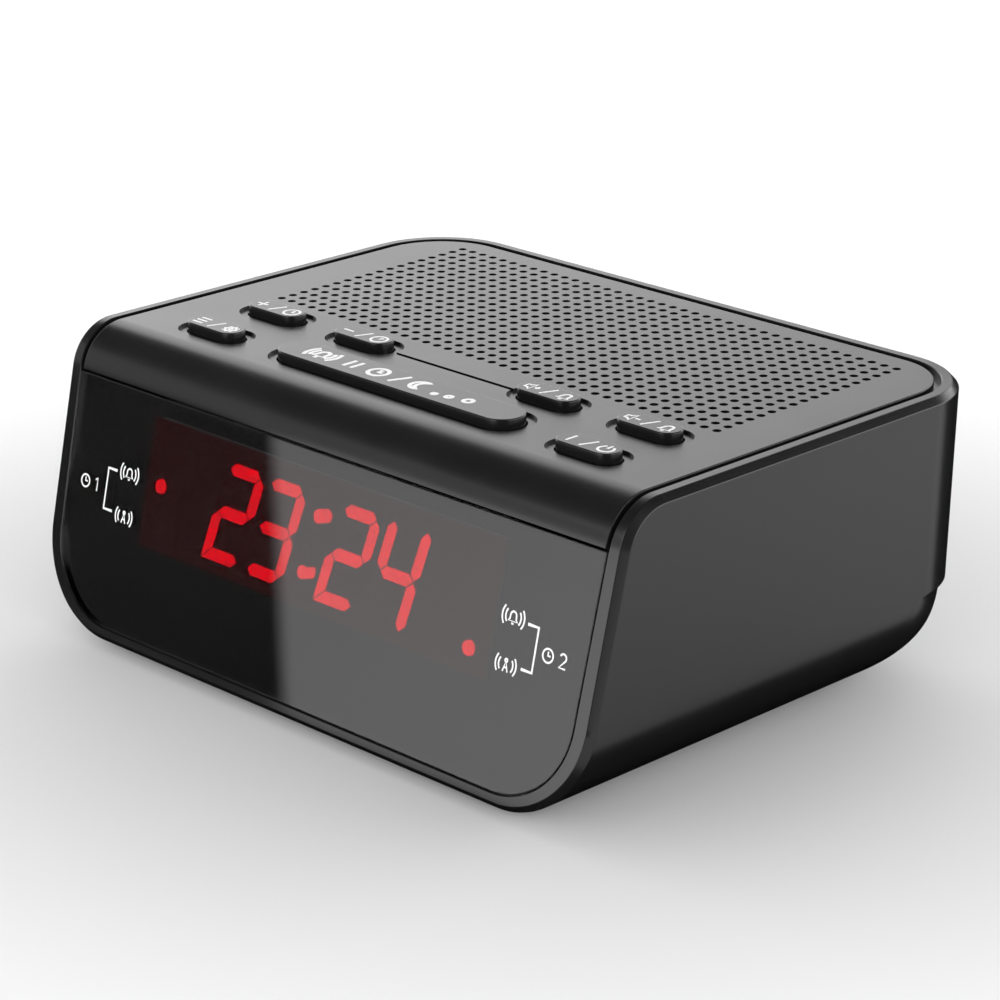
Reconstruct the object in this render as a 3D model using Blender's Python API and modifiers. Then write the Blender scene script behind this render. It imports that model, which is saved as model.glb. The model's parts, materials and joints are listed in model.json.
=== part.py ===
"""Compact clock radio: an open-topped case, a drop-in top cover with seven keys, a sloping glossy
front lens over a four-digit display, a loudspeaker under the grille and the works inside.

Metres, +Z up, the front faces -Y. The origin is under the middle of the case, on the table."""

import math

import bmesh
import bpy
from mathutils import Matrix, Vector

MM = 0.001

# Case: the outer form
FOOT_HEIGHT = 1.5 * MM
TOP = 53.9 * MM
FLOOR = FOOT_HEIGHT
HALF_WIDTH = 67.7 * MM
REAR = 51.53 * MM
FRONT_TOP = -39.48 * MM
FRONT_LEAN = math.atan(0.2301)
DRAFT = math.tan(math.radians(1.0))
BROW_RADIUS = 9.2 * MM
PLAN_RADIUS = 17.3 * MM
SIDE_RADIUS = 17.5 * MM
HEEL_RADIUS = 11.0 * MM
STEP_TOP, STEP_FOOT, STEP_DEPTH = FLOOR + SIDE_RADIUS, 18.2 * MM, 1.7 * MM
RIM_CHAMFER = 1.2 * MM
WALL = 2.2 * MM
FRONT_WALL = 3.8 * MM
GAP = 0.3 * MM

# Top cover: the panel's half width and rear edge, and the groove and the ledge round it
PANEL_HALF, PANEL_REAR, PANEL_RADIUS = 63.5 * MM, 47.3 * MM, 13.2 * MM
GROOVE = 1.25 * MM
LEDGE = 2.0 * MM
LEDGE_DROP = 1.3 * MM
LIP, PLATE = 1.0 * MM, 2.0 * MM
BROW_DROP = 7.7 * MM

# Front lens, measured down the sloping face
LENS_FOOT = 50.95 * MM
LENS_HALF = 64.0 * MM
LENS_RADIUS = 15.1 * MM
LENS_THICK, LENS_SEAT = 1.7 * MM, 2.0 * MM
WINDOW_HALF, WINDOW_TOP, WINDOW_FOOT = 43.0 * MM, 11.5 * MM, 34.4 * MM
WINDOW_SKIN, FILM, FILM_GAP = 0.6 * MM, 0.3 * MM, 0.15 * MM
SEGMENT_DEPTH = WINDOW_SKIN + FILM + 2 * FILM_GAP

# Keys: name, centre x and y, length and width
SMALL_KEY = (12.75 * MM, 5.1 * MM)
REAR_ROW, FRONT_ROW = -11.35 * MM, -25.6 * MM
KEYS = {
    "mode": (-45.1 * MM, FRONT_ROW, *SMALL_KEY),
    "hour": (-45.1 * MM, REAR_ROW, *SMALL_KEY),
    "minute": (-22.4 * MM, REAR_ROW, *SMALL_KEY),
    "snooze": (0.0, -24.3 * MM, 56.8 * MM, 7.9 * MM),
    "volume_up": (22.4 * MM, REAR_ROW, *SMALL_KEY),
    "volume_down": (45.1 * MM, REAR_ROW, *SMALL_KEY),
    "power": (45.1 * MM, FRONT_ROW, *SMALL_KEY),
}
KEY_RISE, KEY_RING, KEY_SINK = 1.4 * MM, 1.8 * MM, 0.55 * MM
KEY_FLANGE = 0.8 * MM
KEY_BOARD_TOP = 44.6 * MM
SWITCH_TALL = 4.6 * MM

# Works
SPEAKER_Y = 19.3 * MM
SPEAKER_RADIUS = 25.0 * MM
SPEAKER_TOP = TOP - PLATE - 3.3 * MM
SPEAKER_POSTS = (-28.5 * MM, 28.5 * MM)
KEY_POSTS = [(x, -18.5 * MM) for x in (-56 * MM, -33.5 * MM, 33.5 * MM, 56 * MM)]
MAIN_BOARD_TOP = 22.0 * MM
DIGIT_X = [-20.3 * MM, -9.8 * MM, 8.25 * MM, 19.9 * MM]
DIGIT_TALL, DIGIT_WIDE, DIGIT_SLANT = 15.4 * MM, 7.85 * MM, math.radians(10.5)
DIGIT_MIDDLE = 23.5 * MM
SEGMENT_THICK, SEGMENT_GAP = 2.2 * MM, 0.36 * MM
ALARM_DOTS = {"left": (-39.7 * MM, 23.2 * MM), "right": (37.9 * MM, 30.45 * MM)}
DOT_RADIUS = 1.25 * MM
CASE_BOSSES = [(-55 * MM, -33 * MM), (55 * MM, -33 * MM), (-47 * MM, 36 * MM), (47 * MM, 36 * MM)]
FEET = [(-38 * MM, -42 * MM), (38 * MM, -42 * MM), (-38 * MM, 31 * MM), (38 * MM, 31 * MM)]
BOSS_SPLIT = 12.0 * MM
BOARD_POSTS = (-44 * MM, 44 * MM)
DISPLAY_BOARD_DEPTH = 11.4 * MM
DISPLAY_POSTS = [(x, down) for x in (-44.8 * MM, 44.8 * MM) for down in (13 * MM, 33 * MM)]
JACK = (-34 * MM, 30 * MM)
AERIAL = (34 * MM, 30 * MM)
CELL_RADIUS, CELL_LONG = 5.2 * MM, 44.0 * MM
CELL_Y = (14.2 * MM, 25.8 * MM)
BAY_HALF, BAY_FRONT, BAY_BACK = 26.5 * MM, 8.2 * MM, 31.8 * MM
BAY_TOP = 15.2 * MM
DOOR_HALF, DOOR_FRONT, DOOR_THICK = 27.0 * MM, 4.0 * MM, 1.8 * MM

MATERIALS = {
    "case_plastic": ((0.022, 0.022, 0.023), 0.42, 0.0),
    "lens_acrylic": ((0.008, 0.007, 0.007), 0.05, 0.0),
    "key_plastic": ((0.018, 0.018, 0.019), 0.40, 0.0),
    "red_filter": ((0.12, 0.006, 0.008), 0.25, 0.0),
    "led_diffuser": ((0.80, 0.03, 0.05), 0.35, 0.0),
    "board_laminate": ((0.03, 0.16, 0.07), 0.45, 0.0),
    "black_nylon": ((0.03, 0.03, 0.032), 0.55, 0.0),
    "steel": ((0.60, 0.60, 0.62), 0.30, 1.0),
    "nickel": ((0.68, 0.67, 0.63), 0.25, 1.0),
    "rubber": ((0.03, 0.03, 0.03), 0.85, 0.0),
    "speaker_paper": ((0.05, 0.05, 0.05), 0.85, 0.0),
    "ferrite": ((0.06, 0.055, 0.06), 0.50, 0.0),
    "copper_wire": ((0.62, 0.27, 0.14), 0.35, 1.0),
    "cell_sleeve": ((0.05, 0.20, 0.42), 0.35, 0.2),
    "lead_sleeve": ((0.45, 0.04, 0.04), 0.45, 0.0),
    "ribbon": ((0.42, 0.43, 0.45), 0.50, 0.0),
}


def clear_scene():
    for obj in list(bpy.data.objects):
        bpy.data.objects.remove(obj, do_unlink=True)


def new_collection(name, hidden=False):
    collection = bpy.data.collections.new(name)
    collection.hide_render = hidden
    bpy.context.scene.collection.children.link(collection)
    return collection


clear_scene()
PARTS = new_collection("clock_radio")
CUTTERS = new_collection("cutters", hidden=True)


def make_material(name):
    colour, roughness, metallic = MATERIALS[name]
    material = bpy.data.materials.new(name)
    material.use_nodes = True
    shader = material.node_tree.nodes["Principled BSDF"]
    shader.inputs["Base Color"].default_value = (*colour, 1.0)
    shader.inputs["Roughness"].default_value = roughness
    shader.inputs["Metallic"].default_value = metallic
    return material


SLOTS = {name: make_material(name) for name in MATERIALS}


def add(name, mesh, slot=None):
    """The mesh as a part in its material or, without one, as a hidden cutter."""
    obj = bpy.data.objects.new(name, mesh)
    if slot:
        PARTS.objects.link(obj)
        mesh.materials.append(SLOTS[slot])
    else:
        CUTTERS.objects.link(obj)
        obj.hide_render = True
        obj.display_type = "WIRE"
    return obj


def from_bmesh(name, bm, slot=None):
    bmesh.ops.recalc_face_normals(bm, faces=bm.faces[:])
    mesh = bpy.data.meshes.new(name)
    bm.to_mesh(mesh)
    bm.free()
    return add(name, mesh, slot)


def box(name, low, high, slot=None, turn=None):
    """A box between two corners, turned afterwards by a matrix if one is given."""
    bm = bmesh.new()
    bmesh.ops.create_cube(bm, size=1.0)
    size = Vector(high) - Vector(low)
    middle = (Vector(high) + Vector(low)) / 2
    bmesh.ops.transform(bm, matrix=Matrix.Translation(middle) @ Matrix.Diagonal((*size, 1.0)), verts=bm.verts)
    if turn:
        bmesh.ops.transform(bm, matrix=turn, verts=bm.verts)
    return from_bmesh(name, bm, slot)


def rod(name, start, end, radius, slot=None, radius_end=None, sides=24):
    """A cylinder or cone between two points."""
    start, end = Vector(start), Vector(end)
    along = end - start
    turn = along.to_track_quat("Z", "Y").to_matrix().to_4x4()
    bm = bmesh.new()
    bmesh.ops.create_cone(
        bm,
        cap_ends=True,
        segments=sides,
        radius1=radius,
        radius2=radius if radius_end is None else radius_end,
        depth=along.length,
        matrix=Matrix.Translation((start + end) / 2) @ turn,
    )
    return from_bmesh(name, bm, slot)


PLANES = {
    "X": Matrix(((0, 0, 1, 0), (1, 0, 0, 0), (0, 1, 0, 0), (0, 0, 0, 1))),
    "Y": Matrix(((1, 0, 0, 0), (0, 0, -1, 0), (0, 1, 0, 0), (0, 0, 0, 1))),
    "Z": Matrix.Identity(4),
}


def plate(name, outline, low, high, plane="Z", slot=None, holes=()):
    """An outline in a plane, extruded along the plane's axis between two heights."""
    matrix = PLANES[plane] if isinstance(plane, str) else plane
    if plane == "Y":
        low, high = -high, -low
    curve = bpy.data.curves.new(name, "CURVE")
    curve.dimensions = "2D"
    curve.fill_mode = "BOTH"
    curve.extrude = (high - low) / 2
    for loop in (outline, *holes):
        spline = curve.splines.new("POLY")
        spline.points.add(len(loop) - 1)
        for point, (a, b) in zip(spline.points, loop):
            point.co = (a, b, 0.0, 1.0)
        spline.use_cyclic_u = True
    guide = bpy.data.objects.new(name + "_outline", curve)
    CUTTERS.objects.link(guide)
    bpy.context.view_layer.update()
    graph = bpy.context.evaluated_depsgraph_get()
    mesh = bpy.data.meshes.new_from_object(guide.evaluated_get(graph))
    bpy.data.objects.remove(guide)
    bpy.data.curves.remove(curve)
    bm = bmesh.new()
    bm.from_mesh(mesh)
    bpy.data.meshes.remove(mesh)
    bmesh.ops.remove_doubles(bm, verts=bm.verts, dist=1e-6)
    bmesh.ops.dissolve_limit(bm, angle_limit=1e-3, verts=bm.verts, edges=bm.edges)
    bmesh.ops.transform(bm, matrix=matrix @ Matrix.Translation((0, 0, (low + high) / 2)), verts=bm.verts)
    return from_bmesh(name, bm, slot)


def arc(centre, radius, start, stop, steps):
    """Points on an arc, in degrees, both ends included."""
    turns = [math.radians(start + (stop - start) * i / steps) for i in range(steps + 1)]
    return [(centre[0] + radius * math.cos(t), centre[1] + radius * math.sin(t)) for t in turns]


def stadium(x, y, length, width, grow=0.0, steps=6):
    radius = width / 2 + grow
    reach = (length - width) / 2
    return arc((x + reach, y), radius, -90, 90, steps) + arc((x - reach, y), radius, 90, 270, steps)


def turned(name, profile, slot, matrix, steps=24):
    """A closed solid turned about its own Z axis, from a profile that runs down the outside."""
    mesh = bpy.data.meshes.new(name)
    edges = [(i, i + 1) for i in range(len(profile) - 1)]
    if profile[0][0] > 0 and profile[-1][0] > 0:
        edges.append((len(profile) - 1, 0))
    mesh.from_pydata([(r, 0.0, z) for r, z in profile], edges, [])
    obj = add(name, mesh, slot)
    screw = obj.modifiers.new("turn", "SCREW")
    screw.steps = screw.render_steps = steps
    screw.use_merge_vertices = True
    screw.merge_threshold = 1e-5
    obj.matrix_world = matrix
    return obj


def wire(name, points, radius, slot, samples=12, resolution=2):
    """A round lead on a smooth curve through the points of its route."""
    route = [Vector(p) for p in points]
    path = []
    for i in range(len(route) - 1):
        before = route[max(i - 1, 0)]
        after = route[min(i + 2, len(route) - 1)]
        for k in range(samples):
            t = k / samples
            path.append(
                0.5
                * (
                    2 * route[i]
                    + (route[i + 1] - before) * t
                    + (2 * before - 5 * route[i] + 4 * route[i + 1] - after) * t * t
                    + (3 * route[i] - before - 3 * route[i + 1] + after) * t**3
                )
            )
    path.append(route[-1])
    return tube(name, path, radius, slot, resolution)


def tube(name, path, radius, slot, resolution=2):
    curve = bpy.data.curves.new(name, "CURVE")
    curve.dimensions = "3D"
    curve.bevel_depth = radius
    curve.bevel_resolution = resolution
    curve.use_fill_caps = True
    spline = curve.splines.new("POLY")
    spline.points.add(len(path) - 1)
    for point, place in zip(spline.points, path):
        point.co = (*place, 1.0)
    curve.materials.append(SLOTS[slot])
    obj = bpy.data.objects.new(name, curve)
    PARTS.objects.link(obj)
    return obj


def boolean(obj, operation, *tools):
    for tool in tools:
        modifier = obj.modifiers.new(operation.lower() + "_" + tool.name, "BOOLEAN")
        modifier.operation = operation
        modifier.object = tool
    return obj


def cut(obj, *tools):
    return boolean(obj, "DIFFERENCE", *tools)


def join(obj, *tools):
    return boolean(obj, "UNION", *tools)


def keep_within(obj, *tools):
    return boolean(obj, "INTERSECT", *tools)


def move_origin(obj, place):
    """Puts the object's origin at a place without moving its shape."""
    place = Vector(place)
    obj.data.transform(Matrix.Translation(-place))
    obj.location = place


# ---------------------------------------------------------------------------- the case's form


def half_width(z, inset=0.0):
    """Half the case's width at a height: drafted walls on a large bottom radius."""
    low, radius = FLOOR + inset, SIDE_RADIUS - inset
    wide = HALF_WIDTH - inset - DRAFT * (TOP - z)
    rise = low + radius - z
    if rise > 0:
        wide -= radius - math.sqrt(max(radius**2 - rise**2, 0.0))
    return wide


def rear_edge(z, inset=0.0):
    """The rear wall's y at a height: drafted, stepped in low down, with a rounded heel."""
    low, radius = FLOOR + inset, HEEL_RADIUS - inset / 2
    edge = REAR - inset - DRAFT * (TOP - z)
    edge -= STEP_DEPTH * min(max((STEP_TOP - z) / (STEP_TOP - STEP_FOOT), 0.0), 1.0)
    rise = low + radius - z
    if rise > 0:
        edge -= radius - math.sqrt(max(radius**2 - rise**2, 0.0))
    return edge


def rounded_rear(half, rear, radius, front, steps=6):
    """A plan outline that is square in front and rounded at both rear corners."""
    right = arc((half - radius, rear - radius), radius, 0, 90, steps)
    left = arc((radius - half, rear - radius), radius, 90, 180, steps)
    return [(half, front), *right, *left, (-half, front)]


def case_loft(name, inset, top):
    """The case's outer form, or its cavity's with an inset, as plan outlines lofted upwards."""
    low, radius = FLOOR + inset, SIDE_RADIUS - inset
    levels = [low + radius * (1 - math.cos(math.radians(a))) for a in range(0, 90, 15)]
    levels += [STEP_FOOT, STEP_TOP, top]
    bm = bmesh.new()
    rings = []
    for z in sorted(set(levels)):
        outline = rounded_rear(half_width(z, inset), rear_edge(z, inset), PLAN_RADIUS - inset, -70 * MM)
        rings.append([bm.verts.new((x, y, z)) for x, y in outline])
    for lower, upper in zip(rings, rings[1:]):
        for i, corner in enumerate(lower):
            j = (i + 1) % len(lower)
            bm.faces.new((corner, lower[j], upper[j], upper[i]))
    bm.faces.new(rings[-1])
    bm.faces.new(list(reversed(rings[0])))
    return from_bmesh(name, bm)


def face_point(down, depth=0.0):
    """(y, z) of a place on the sloping front: down it from the sharp top corner, and in from it."""
    along = Vector((-math.sin(FRONT_LEAN), -math.cos(FRONT_LEAN)))
    inward = Vector((math.cos(FRONT_LEAN), -math.sin(FRONT_LEAN)))
    return Vector((FRONT_TOP, TOP)) + along * down + inward * depth


def brow_profile(depth, steps=6):
    """(y, z) from the front face up round the brow to the top, at a depth under the surface."""
    tangent = BROW_RADIUS * math.tan((math.pi / 2 - FRONT_LEAN) / 2)
    centre = (FRONT_TOP + tangent, TOP - BROW_RADIUS)
    turn = arc(centre, BROW_RADIUS - depth, 180 - math.degrees(FRONT_LEAN), 90, steps)
    return turn


def front_band(name, half, outer, inner, down, rear):
    """The skin over the top and brow between two depths, ending square to the face at the brow's edge."""
    out = [tuple(face_point(down, outer)), *brow_profile(outer), (rear, TOP - outer)]
    back = [(rear, TOP - inner), *reversed(brow_profile(inner)), tuple(face_point(down, inner))]
    return plate(name, out + back, -half, half, "X")


def panel_solid(name, half, rear, radius, outer, inner, down, slot=None):
    band = front_band(name, half + 5 * MM, outer, inner, down, rear + 5 * MM)
    if slot:
        make_part(band, slot)
    plan = plate(name + "_plan", rounded_rear(half, rear, radius, -60 * MM), 0.0, 70 * MM)
    return keep_within(band, plan)


def face_matrix():
    """The sloping face's own frame: x across, y up the face, z out of it, from the top corner."""
    up = Vector((0, math.sin(FRONT_LEAN), math.cos(FRONT_LEAN)))
    out = Vector((0, -math.cos(FRONT_LEAN), math.sin(FRONT_LEAN)))
    turn = Matrix(((1, up.x, out.x), (0, up.y, out.y), (0, up.z, out.z))).to_4x4()
    return Matrix.Translation((0, FRONT_TOP, TOP)) @ turn


FACE = face_matrix()


def lens_outline(grow=0.0, down=BROW_DROP):
    """The lens on the face: square at the top, rounded at the foot, its sides drafted."""
    foot, radius = LENS_FOOT + grow, LENS_RADIUS + grow
    top_half = LENS_HALF + grow
    low_half = top_half - DRAFT * (foot - down)
    side = foot - radius
    return [
        (top_half, -down),
        *[(low_half - radius + x, -side + y) for x, y in arc((0, 0), radius, 0, -90, 8)],
        *[(radius - low_half + x, -side + y) for x, y in arc((0, 0), radius, -90, -180, 8)],
        (-top_half, -down),
    ]


def make_part(obj, slot):
    """Moves a cutter to the parts and gives it a material."""
    CUTTERS.objects.unlink(obj)
    PARTS.objects.link(obj)
    obj.hide_render = False
    obj.display_type = "TEXTURED"
    obj.data.materials.append(SLOTS[slot])


def build_case():
    hull = case_loft("case_tub", 0.0, TOP + 5 * MM)
    make_part(hull, "case_plastic")

    block = [tuple(face_point(70 * MM)), *brow_profile(0.0), (70 * MM, TOP), (70 * MM, -20 * MM)]
    keep_within(hull, plate("outer_form", block, -90 * MM, 90 * MM, "X"))
    chamfer = hull.modifiers.new("rim_chamfer", "BEVEL")
    chamfer.width = RIM_CHAMFER
    chamfer.segments = 1
    chamfer.limit_method = "ANGLE"
    chamfer.angle_limit = math.radians(60)

    cavity = case_loft("cavity", WALL, TOP + 5 * MM)
    inner = [tuple(face_point(70 * MM, FRONT_WALL)), *brow_profile(FRONT_WALL)]
    inner += [(70 * MM, TOP - FRONT_WALL), (70 * MM, -20 * MM)]
    keep_within(cavity, plate("inner_form", inner, -90 * MM, 90 * MM, "X"))
    bay = box("bay_block", (-31 * MM, 2 * MM, 0), (31 * MM, 44 * MM, BAY_TOP + 1.4 * MM))
    cut(cavity, bay)
    for i, (x, y) in enumerate(CASE_BOSSES):
        cut(cavity, rod(f"tub_boss_{i}", (x, y, 0), (x, y, BOSS_SPLIT), 3.4 * MM))
    for i, x in enumerate(BOARD_POSTS):
        low, high = MAIN_BOARD_TOP - 1.9 * MM, MAIN_BOARD_TOP + 1.0 * MM
        cut(cavity, rod(f"board_post_{i}", (x, -2 * MM, 0), (x, -2 * MM, low), 2.6 * MM, sides=12))
        cut(cavity, rod(f"board_stake_{i}", (x, -2 * MM, low - 1 * MM), (x, -2 * MM, high), 0.9 * MM, sides=12))
    for i, (x, down) in enumerate(DISPLAY_POSTS):
        post = arc((x, -down), 1.2 * MM, 0, 330, 11)
        stake = arc((x, -down), 0.8 * MM, 0, 330, 11)
        cut(cavity, plate(f"display_post_{i}", post, GAP - DISPLAY_BOARD_DEPTH, -2 * MM, FACE))
        cut(cavity, plate(f"display_stake_{i}", stake, -DISPLAY_BOARD_DEPTH - 2.4 * MM, -4 * MM, FACE))
    cut(hull, cavity)

    ring = (PANEL_HALF + GROOVE, PANEL_REAR + GROOVE, PANEL_RADIUS + GROOVE)
    cut(hull, panel_solid("panel_pocket", *ring, -6 * MM, LEDGE_DROP, BROW_DROP))
    way = (PANEL_HALF - LEDGE, PANEL_REAR - LEDGE, PANEL_RADIUS - LEDGE)
    cut(hull, panel_solid("panel_opening", *way, -6 * MM, FRONT_WALL + 1 * MM, BROW_DROP))

    seat = plate("lens_seat", lens_outline(0.15 * MM, BROW_DROP - 0.5 * MM), -LENS_SEAT, 3 * MM, FACE)
    cut(hull, seat, plate("display_window", window_outline(GAP), -FRONT_WALL - 2 * MM, 0.0, FACE))

    inside = box("bay_inside", (-BAY_HALF, BAY_FRONT, 0), (BAY_HALF, BAY_BACK, BAY_TOP))
    way = DOOR_HALF + GAP
    channel = box("door_channel", (-way, DOOR_FRONT - GAP, -1 * MM), (way, 70 * MM, FLOOR + 2.1 * MM))
    groove = box(
        "door_groove",
        (-way - 1.2 * MM, DOOR_FRONT - GAP, FLOOR + 0.8 * MM),
        (way + 1.2 * MM, 70 * MM, FLOOR + 2.1 * MM),
    )
    cut(hull, inside, channel, groove)
    for side, x in (("left", -BAY_HALF), ("right", BAY_HALF)):
        low, high = sorted((x, x * 0.96))
        cut(hull, box(f"tab_slot_{side}", (low, 18 * MM, 14 * MM), (high, 22 * MM, 18 * MM)))
    for i, (x, y) in enumerate(CASE_BOSSES):
        cut(hull, rod(f"head_bore_{i}", (x, y, -1 * MM), (x, y, 6.6 * MM), 3.0 * MM, sides=16))
        cut(hull, rod(f"shank_bore_{i}", (x, y, 5 * MM), (x, y, 14 * MM), 1.7 * MM, sides=16))
    for i, (x, y) in enumerate(FEET):
        cut(hull, rod(f"foot_seat_{i}", (x, y, -1 * MM), (x, y, FLOOR + 0.8 * MM), 5.3 * MM))
    x, z = JACK
    cut(hull, rod("jack_hole", (x, 44 * MM, z), (x, 60 * MM, z), 4.3 * MM))
    x, z = AERIAL
    cut(hull, rod("aerial_hole", (x, 44 * MM, z), (x, 60 * MM, z), 2.8 * MM))


def build_cover():
    cover = panel_solid(
        "top_cover", PANEL_HALF, PANEL_REAR, PANEL_RADIUS, 0.0, LIP, BROW_DROP - 0.2 * MM, "case_plastic"
    )
    inset = LEDGE + GAP
    core = (PANEL_HALF - inset, PANEL_REAR - inset, PANEL_RADIUS - inset)
    join(cover, panel_solid("cover_core", *core, 0.4 * MM, PLATE, BROW_DROP - 0.2 * MM))
    for i, (x, y) in enumerate(CASE_BOSSES):
        join(cover, rod(f"cover_boss_{i}", (x, y, BOSS_SPLIT + GAP), (x, y, TOP - 1.0 * MM), 3.4 * MM, sides=16))
        cut(cover, rod(f"pilot_{i}", (x, y, BOSS_SPLIT - 1 * MM), (x, y, 26 * MM), 1.4 * MM, sides=12))
    for i, (x, y) in enumerate(KEY_POSTS):
        join(cover, rod(f"key_post_{i}", (x, y, KEY_BOARD_TOP + GAP), (x, y, TOP - 1.0 * MM), 2.2 * MM, sides=12))
        cut(cover, rod(f"key_pilot_{i}", (x, y, 40 * MM), (x, y, KEY_BOARD_TOP + 5 * MM), 1.0 * MM, sides=12))
    for i, x in enumerate(SPEAKER_POSTS):
        low = SPEAKER_TOP + GAP
        join(cover, rod(f"speaker_post_{i}", (x, SPEAKER_Y, low), (x, SPEAKER_Y, TOP - 1 * MM), 2.4 * MM, sides=12))
        cut(cover, rod(f"speaker_pilot_{i}", (x, SPEAKER_Y, 44 * MM), (x, SPEAKER_Y, TOP - 1.4 * MM), 1.0 * MM, sides=12))
    for name, key in KEYS.items():
        ring = plate(f"{name}_ring", stadium(*key, grow=KEY_RING), TOP - KEY_SINK, TOP + 3 * MM)
        hole = plate(f"{name}_hole", stadium(*key, grow=GAP), TOP - 5 * MM, TOP + 3 * MM)
        cut(cover, ring, hole)
    reach = 22.4 * MM - SMALL_KEY[0] / 2 - KEY_RING + 0.4 * MM
    line = (-reach, REAR_ROW - 0.6 * MM, TOP - 0.35 * MM), (reach, REAR_ROW - 0.15 * MM, TOP + 1 * MM)
    cut(cover, box("rule_line", *line))


def window_outline(grow=0.0):
    half, top, foot = WINDOW_HALF + grow, WINDOW_TOP - grow, WINDOW_FOOT + grow
    return [(-half, -top), (half, -top), (half, -foot), (-half, -foot)]


def build_lens():
    outline = lens_outline(0.0, BROW_DROP + 0.2 * MM)
    lens = plate("front_lens", outline, -LENS_THICK, 0.0, FACE, "lens_acrylic")
    cut(lens, plate("lens_recess", window_outline(0.15 * MM), -3 * MM, -WINDOW_SKIN, FACE))
    film = WINDOW_SKIN + FILM_GAP
    plate("display_filter", window_outline(), -film - FILM, -film, FACE, "red_filter")


def build_keys():
    for name, (x, y, length, width) in KEYS.items():
        low = TOP - PLATE - GAP
        cap = plate(f"button_{name}", stadium(x, y, length, width), low - 0.2 * MM, TOP + KEY_RISE, slot="key_plastic")
        soft = cap.modifiers.new("soft_edge", "BEVEL")
        soft.width = 0.25 * MM
        soft.segments = 1
        soft.limit_method = "ANGLE"
        soft.angle_limit = math.radians(60)
        flange = plate(f"{name}_flange", stadium(x, y, length, width, 1.1 * MM), low - KEY_FLANGE, low)
        stem = rod(f"{name}_stem", (x, y, KEY_BOARD_TOP + 4.2 * MM), (x, y, low), 1.4 * MM, sides=12)
        join(cap, flange, stem)
        move_origin(cap, (x, y, TOP))
        body = box(
            f"switch_{name}",
            (x - 3 * MM, y - 3 * MM, KEY_BOARD_TOP + GAP),
            (x + 3 * MM, y + 3 * MM, KEY_BOARD_TOP + SWITCH_TALL),
            "black_nylon",
        )
        cut(body, rod(f"{name}_bore", (x, y, KEY_BOARD_TOP + 2.2 * MM), (x, y, TOP), 1.8 * MM, sides=12))


def build_key_board():
    front, back = -30.5 * MM, -5.5 * MM
    low = KEY_BOARD_TOP - 1.6 * MM
    board = box("key_board", (-59 * MM, front, low), (59 * MM, back, KEY_BOARD_TOP), "board_laminate")
    for i, (x, y) in enumerate(KEY_POSTS):
        cut(board, rod(f"key_board_hole_{i}", (x, y, low - 1 * MM), (x, y, TOP), 1.2 * MM, sides=12))
    notch_corners(board)
    for i, (x, y) in enumerate(KEY_POSTS):
        if abs(x) > 40 * MM:
            side = "left" if x < 0 else "right"
            screw(f"key_board_screw_{side}", (x, y, low - GAP), 0.85 * MM, 1.9 * MM, 1.2 * MM, 5.0 * MM)


def notch_corners(board):
    """Cuts a board's front corners clear of the case's front bosses."""
    for i, (x, y) in enumerate(CASE_BOSSES[:2]):
        low, high = sorted((x - math.copysign(4 * MM, x), x * 1.3))
        cut(board, box(f"{board.name}_notch_{i}", (low, y - 8 * MM, 0), (high, y + 4 * MM, TOP)))


def screw(name, seat, shank, head, head_tall, length):
    """A pan-head screw that points up, its head's upper face at the seat."""
    x, y, z = seat
    profile = [
        (0.0, length),
        (shank * 0.6, length),
        (shank, length - shank),
        (shank, 0.0),
        (head, 0.0),
        (head, -head_tall * 0.5),
        (head * 0.7, -head_tall),
        (0.0, -head_tall),
    ]
    obj = turned(name, profile, "steel", Matrix.Translation((x, y, z)), steps=12)
    slot = box(
        name + "_slot",
        (x - head * 0.75, y - head * 0.12, z - head_tall - 1 * MM),
        (x + head * 0.75, y + head * 0.12, z - head_tall * 0.55),
    )
    return cut(obj, slot)


def build_fasteners_and_feet():
    places = ("front_left", "front_right", "rear_left", "rear_right")
    for place, (x, y) in zip(places, CASE_BOSSES):
        screw(f"case_screw_{place}", (x, y, 6.6 * MM - GAP), 1.2 * MM, 2.6 * MM, 1.8 * MM, 16 * MM)
    profile = [
        (0.0, FLOOR + 0.5 * MM),
        (5.0 * MM, FLOOR + 0.5 * MM),
        (5.0 * MM, 0.5 * MM),
        (4.5 * MM, 0.0),
        (0.0, 0.0),
    ]
    for place, (x, y) in zip(places, FEET):
        turned(f"foot_{place}", profile, "rubber", Matrix.Translation((x, y, 0)), steps=20)


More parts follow.
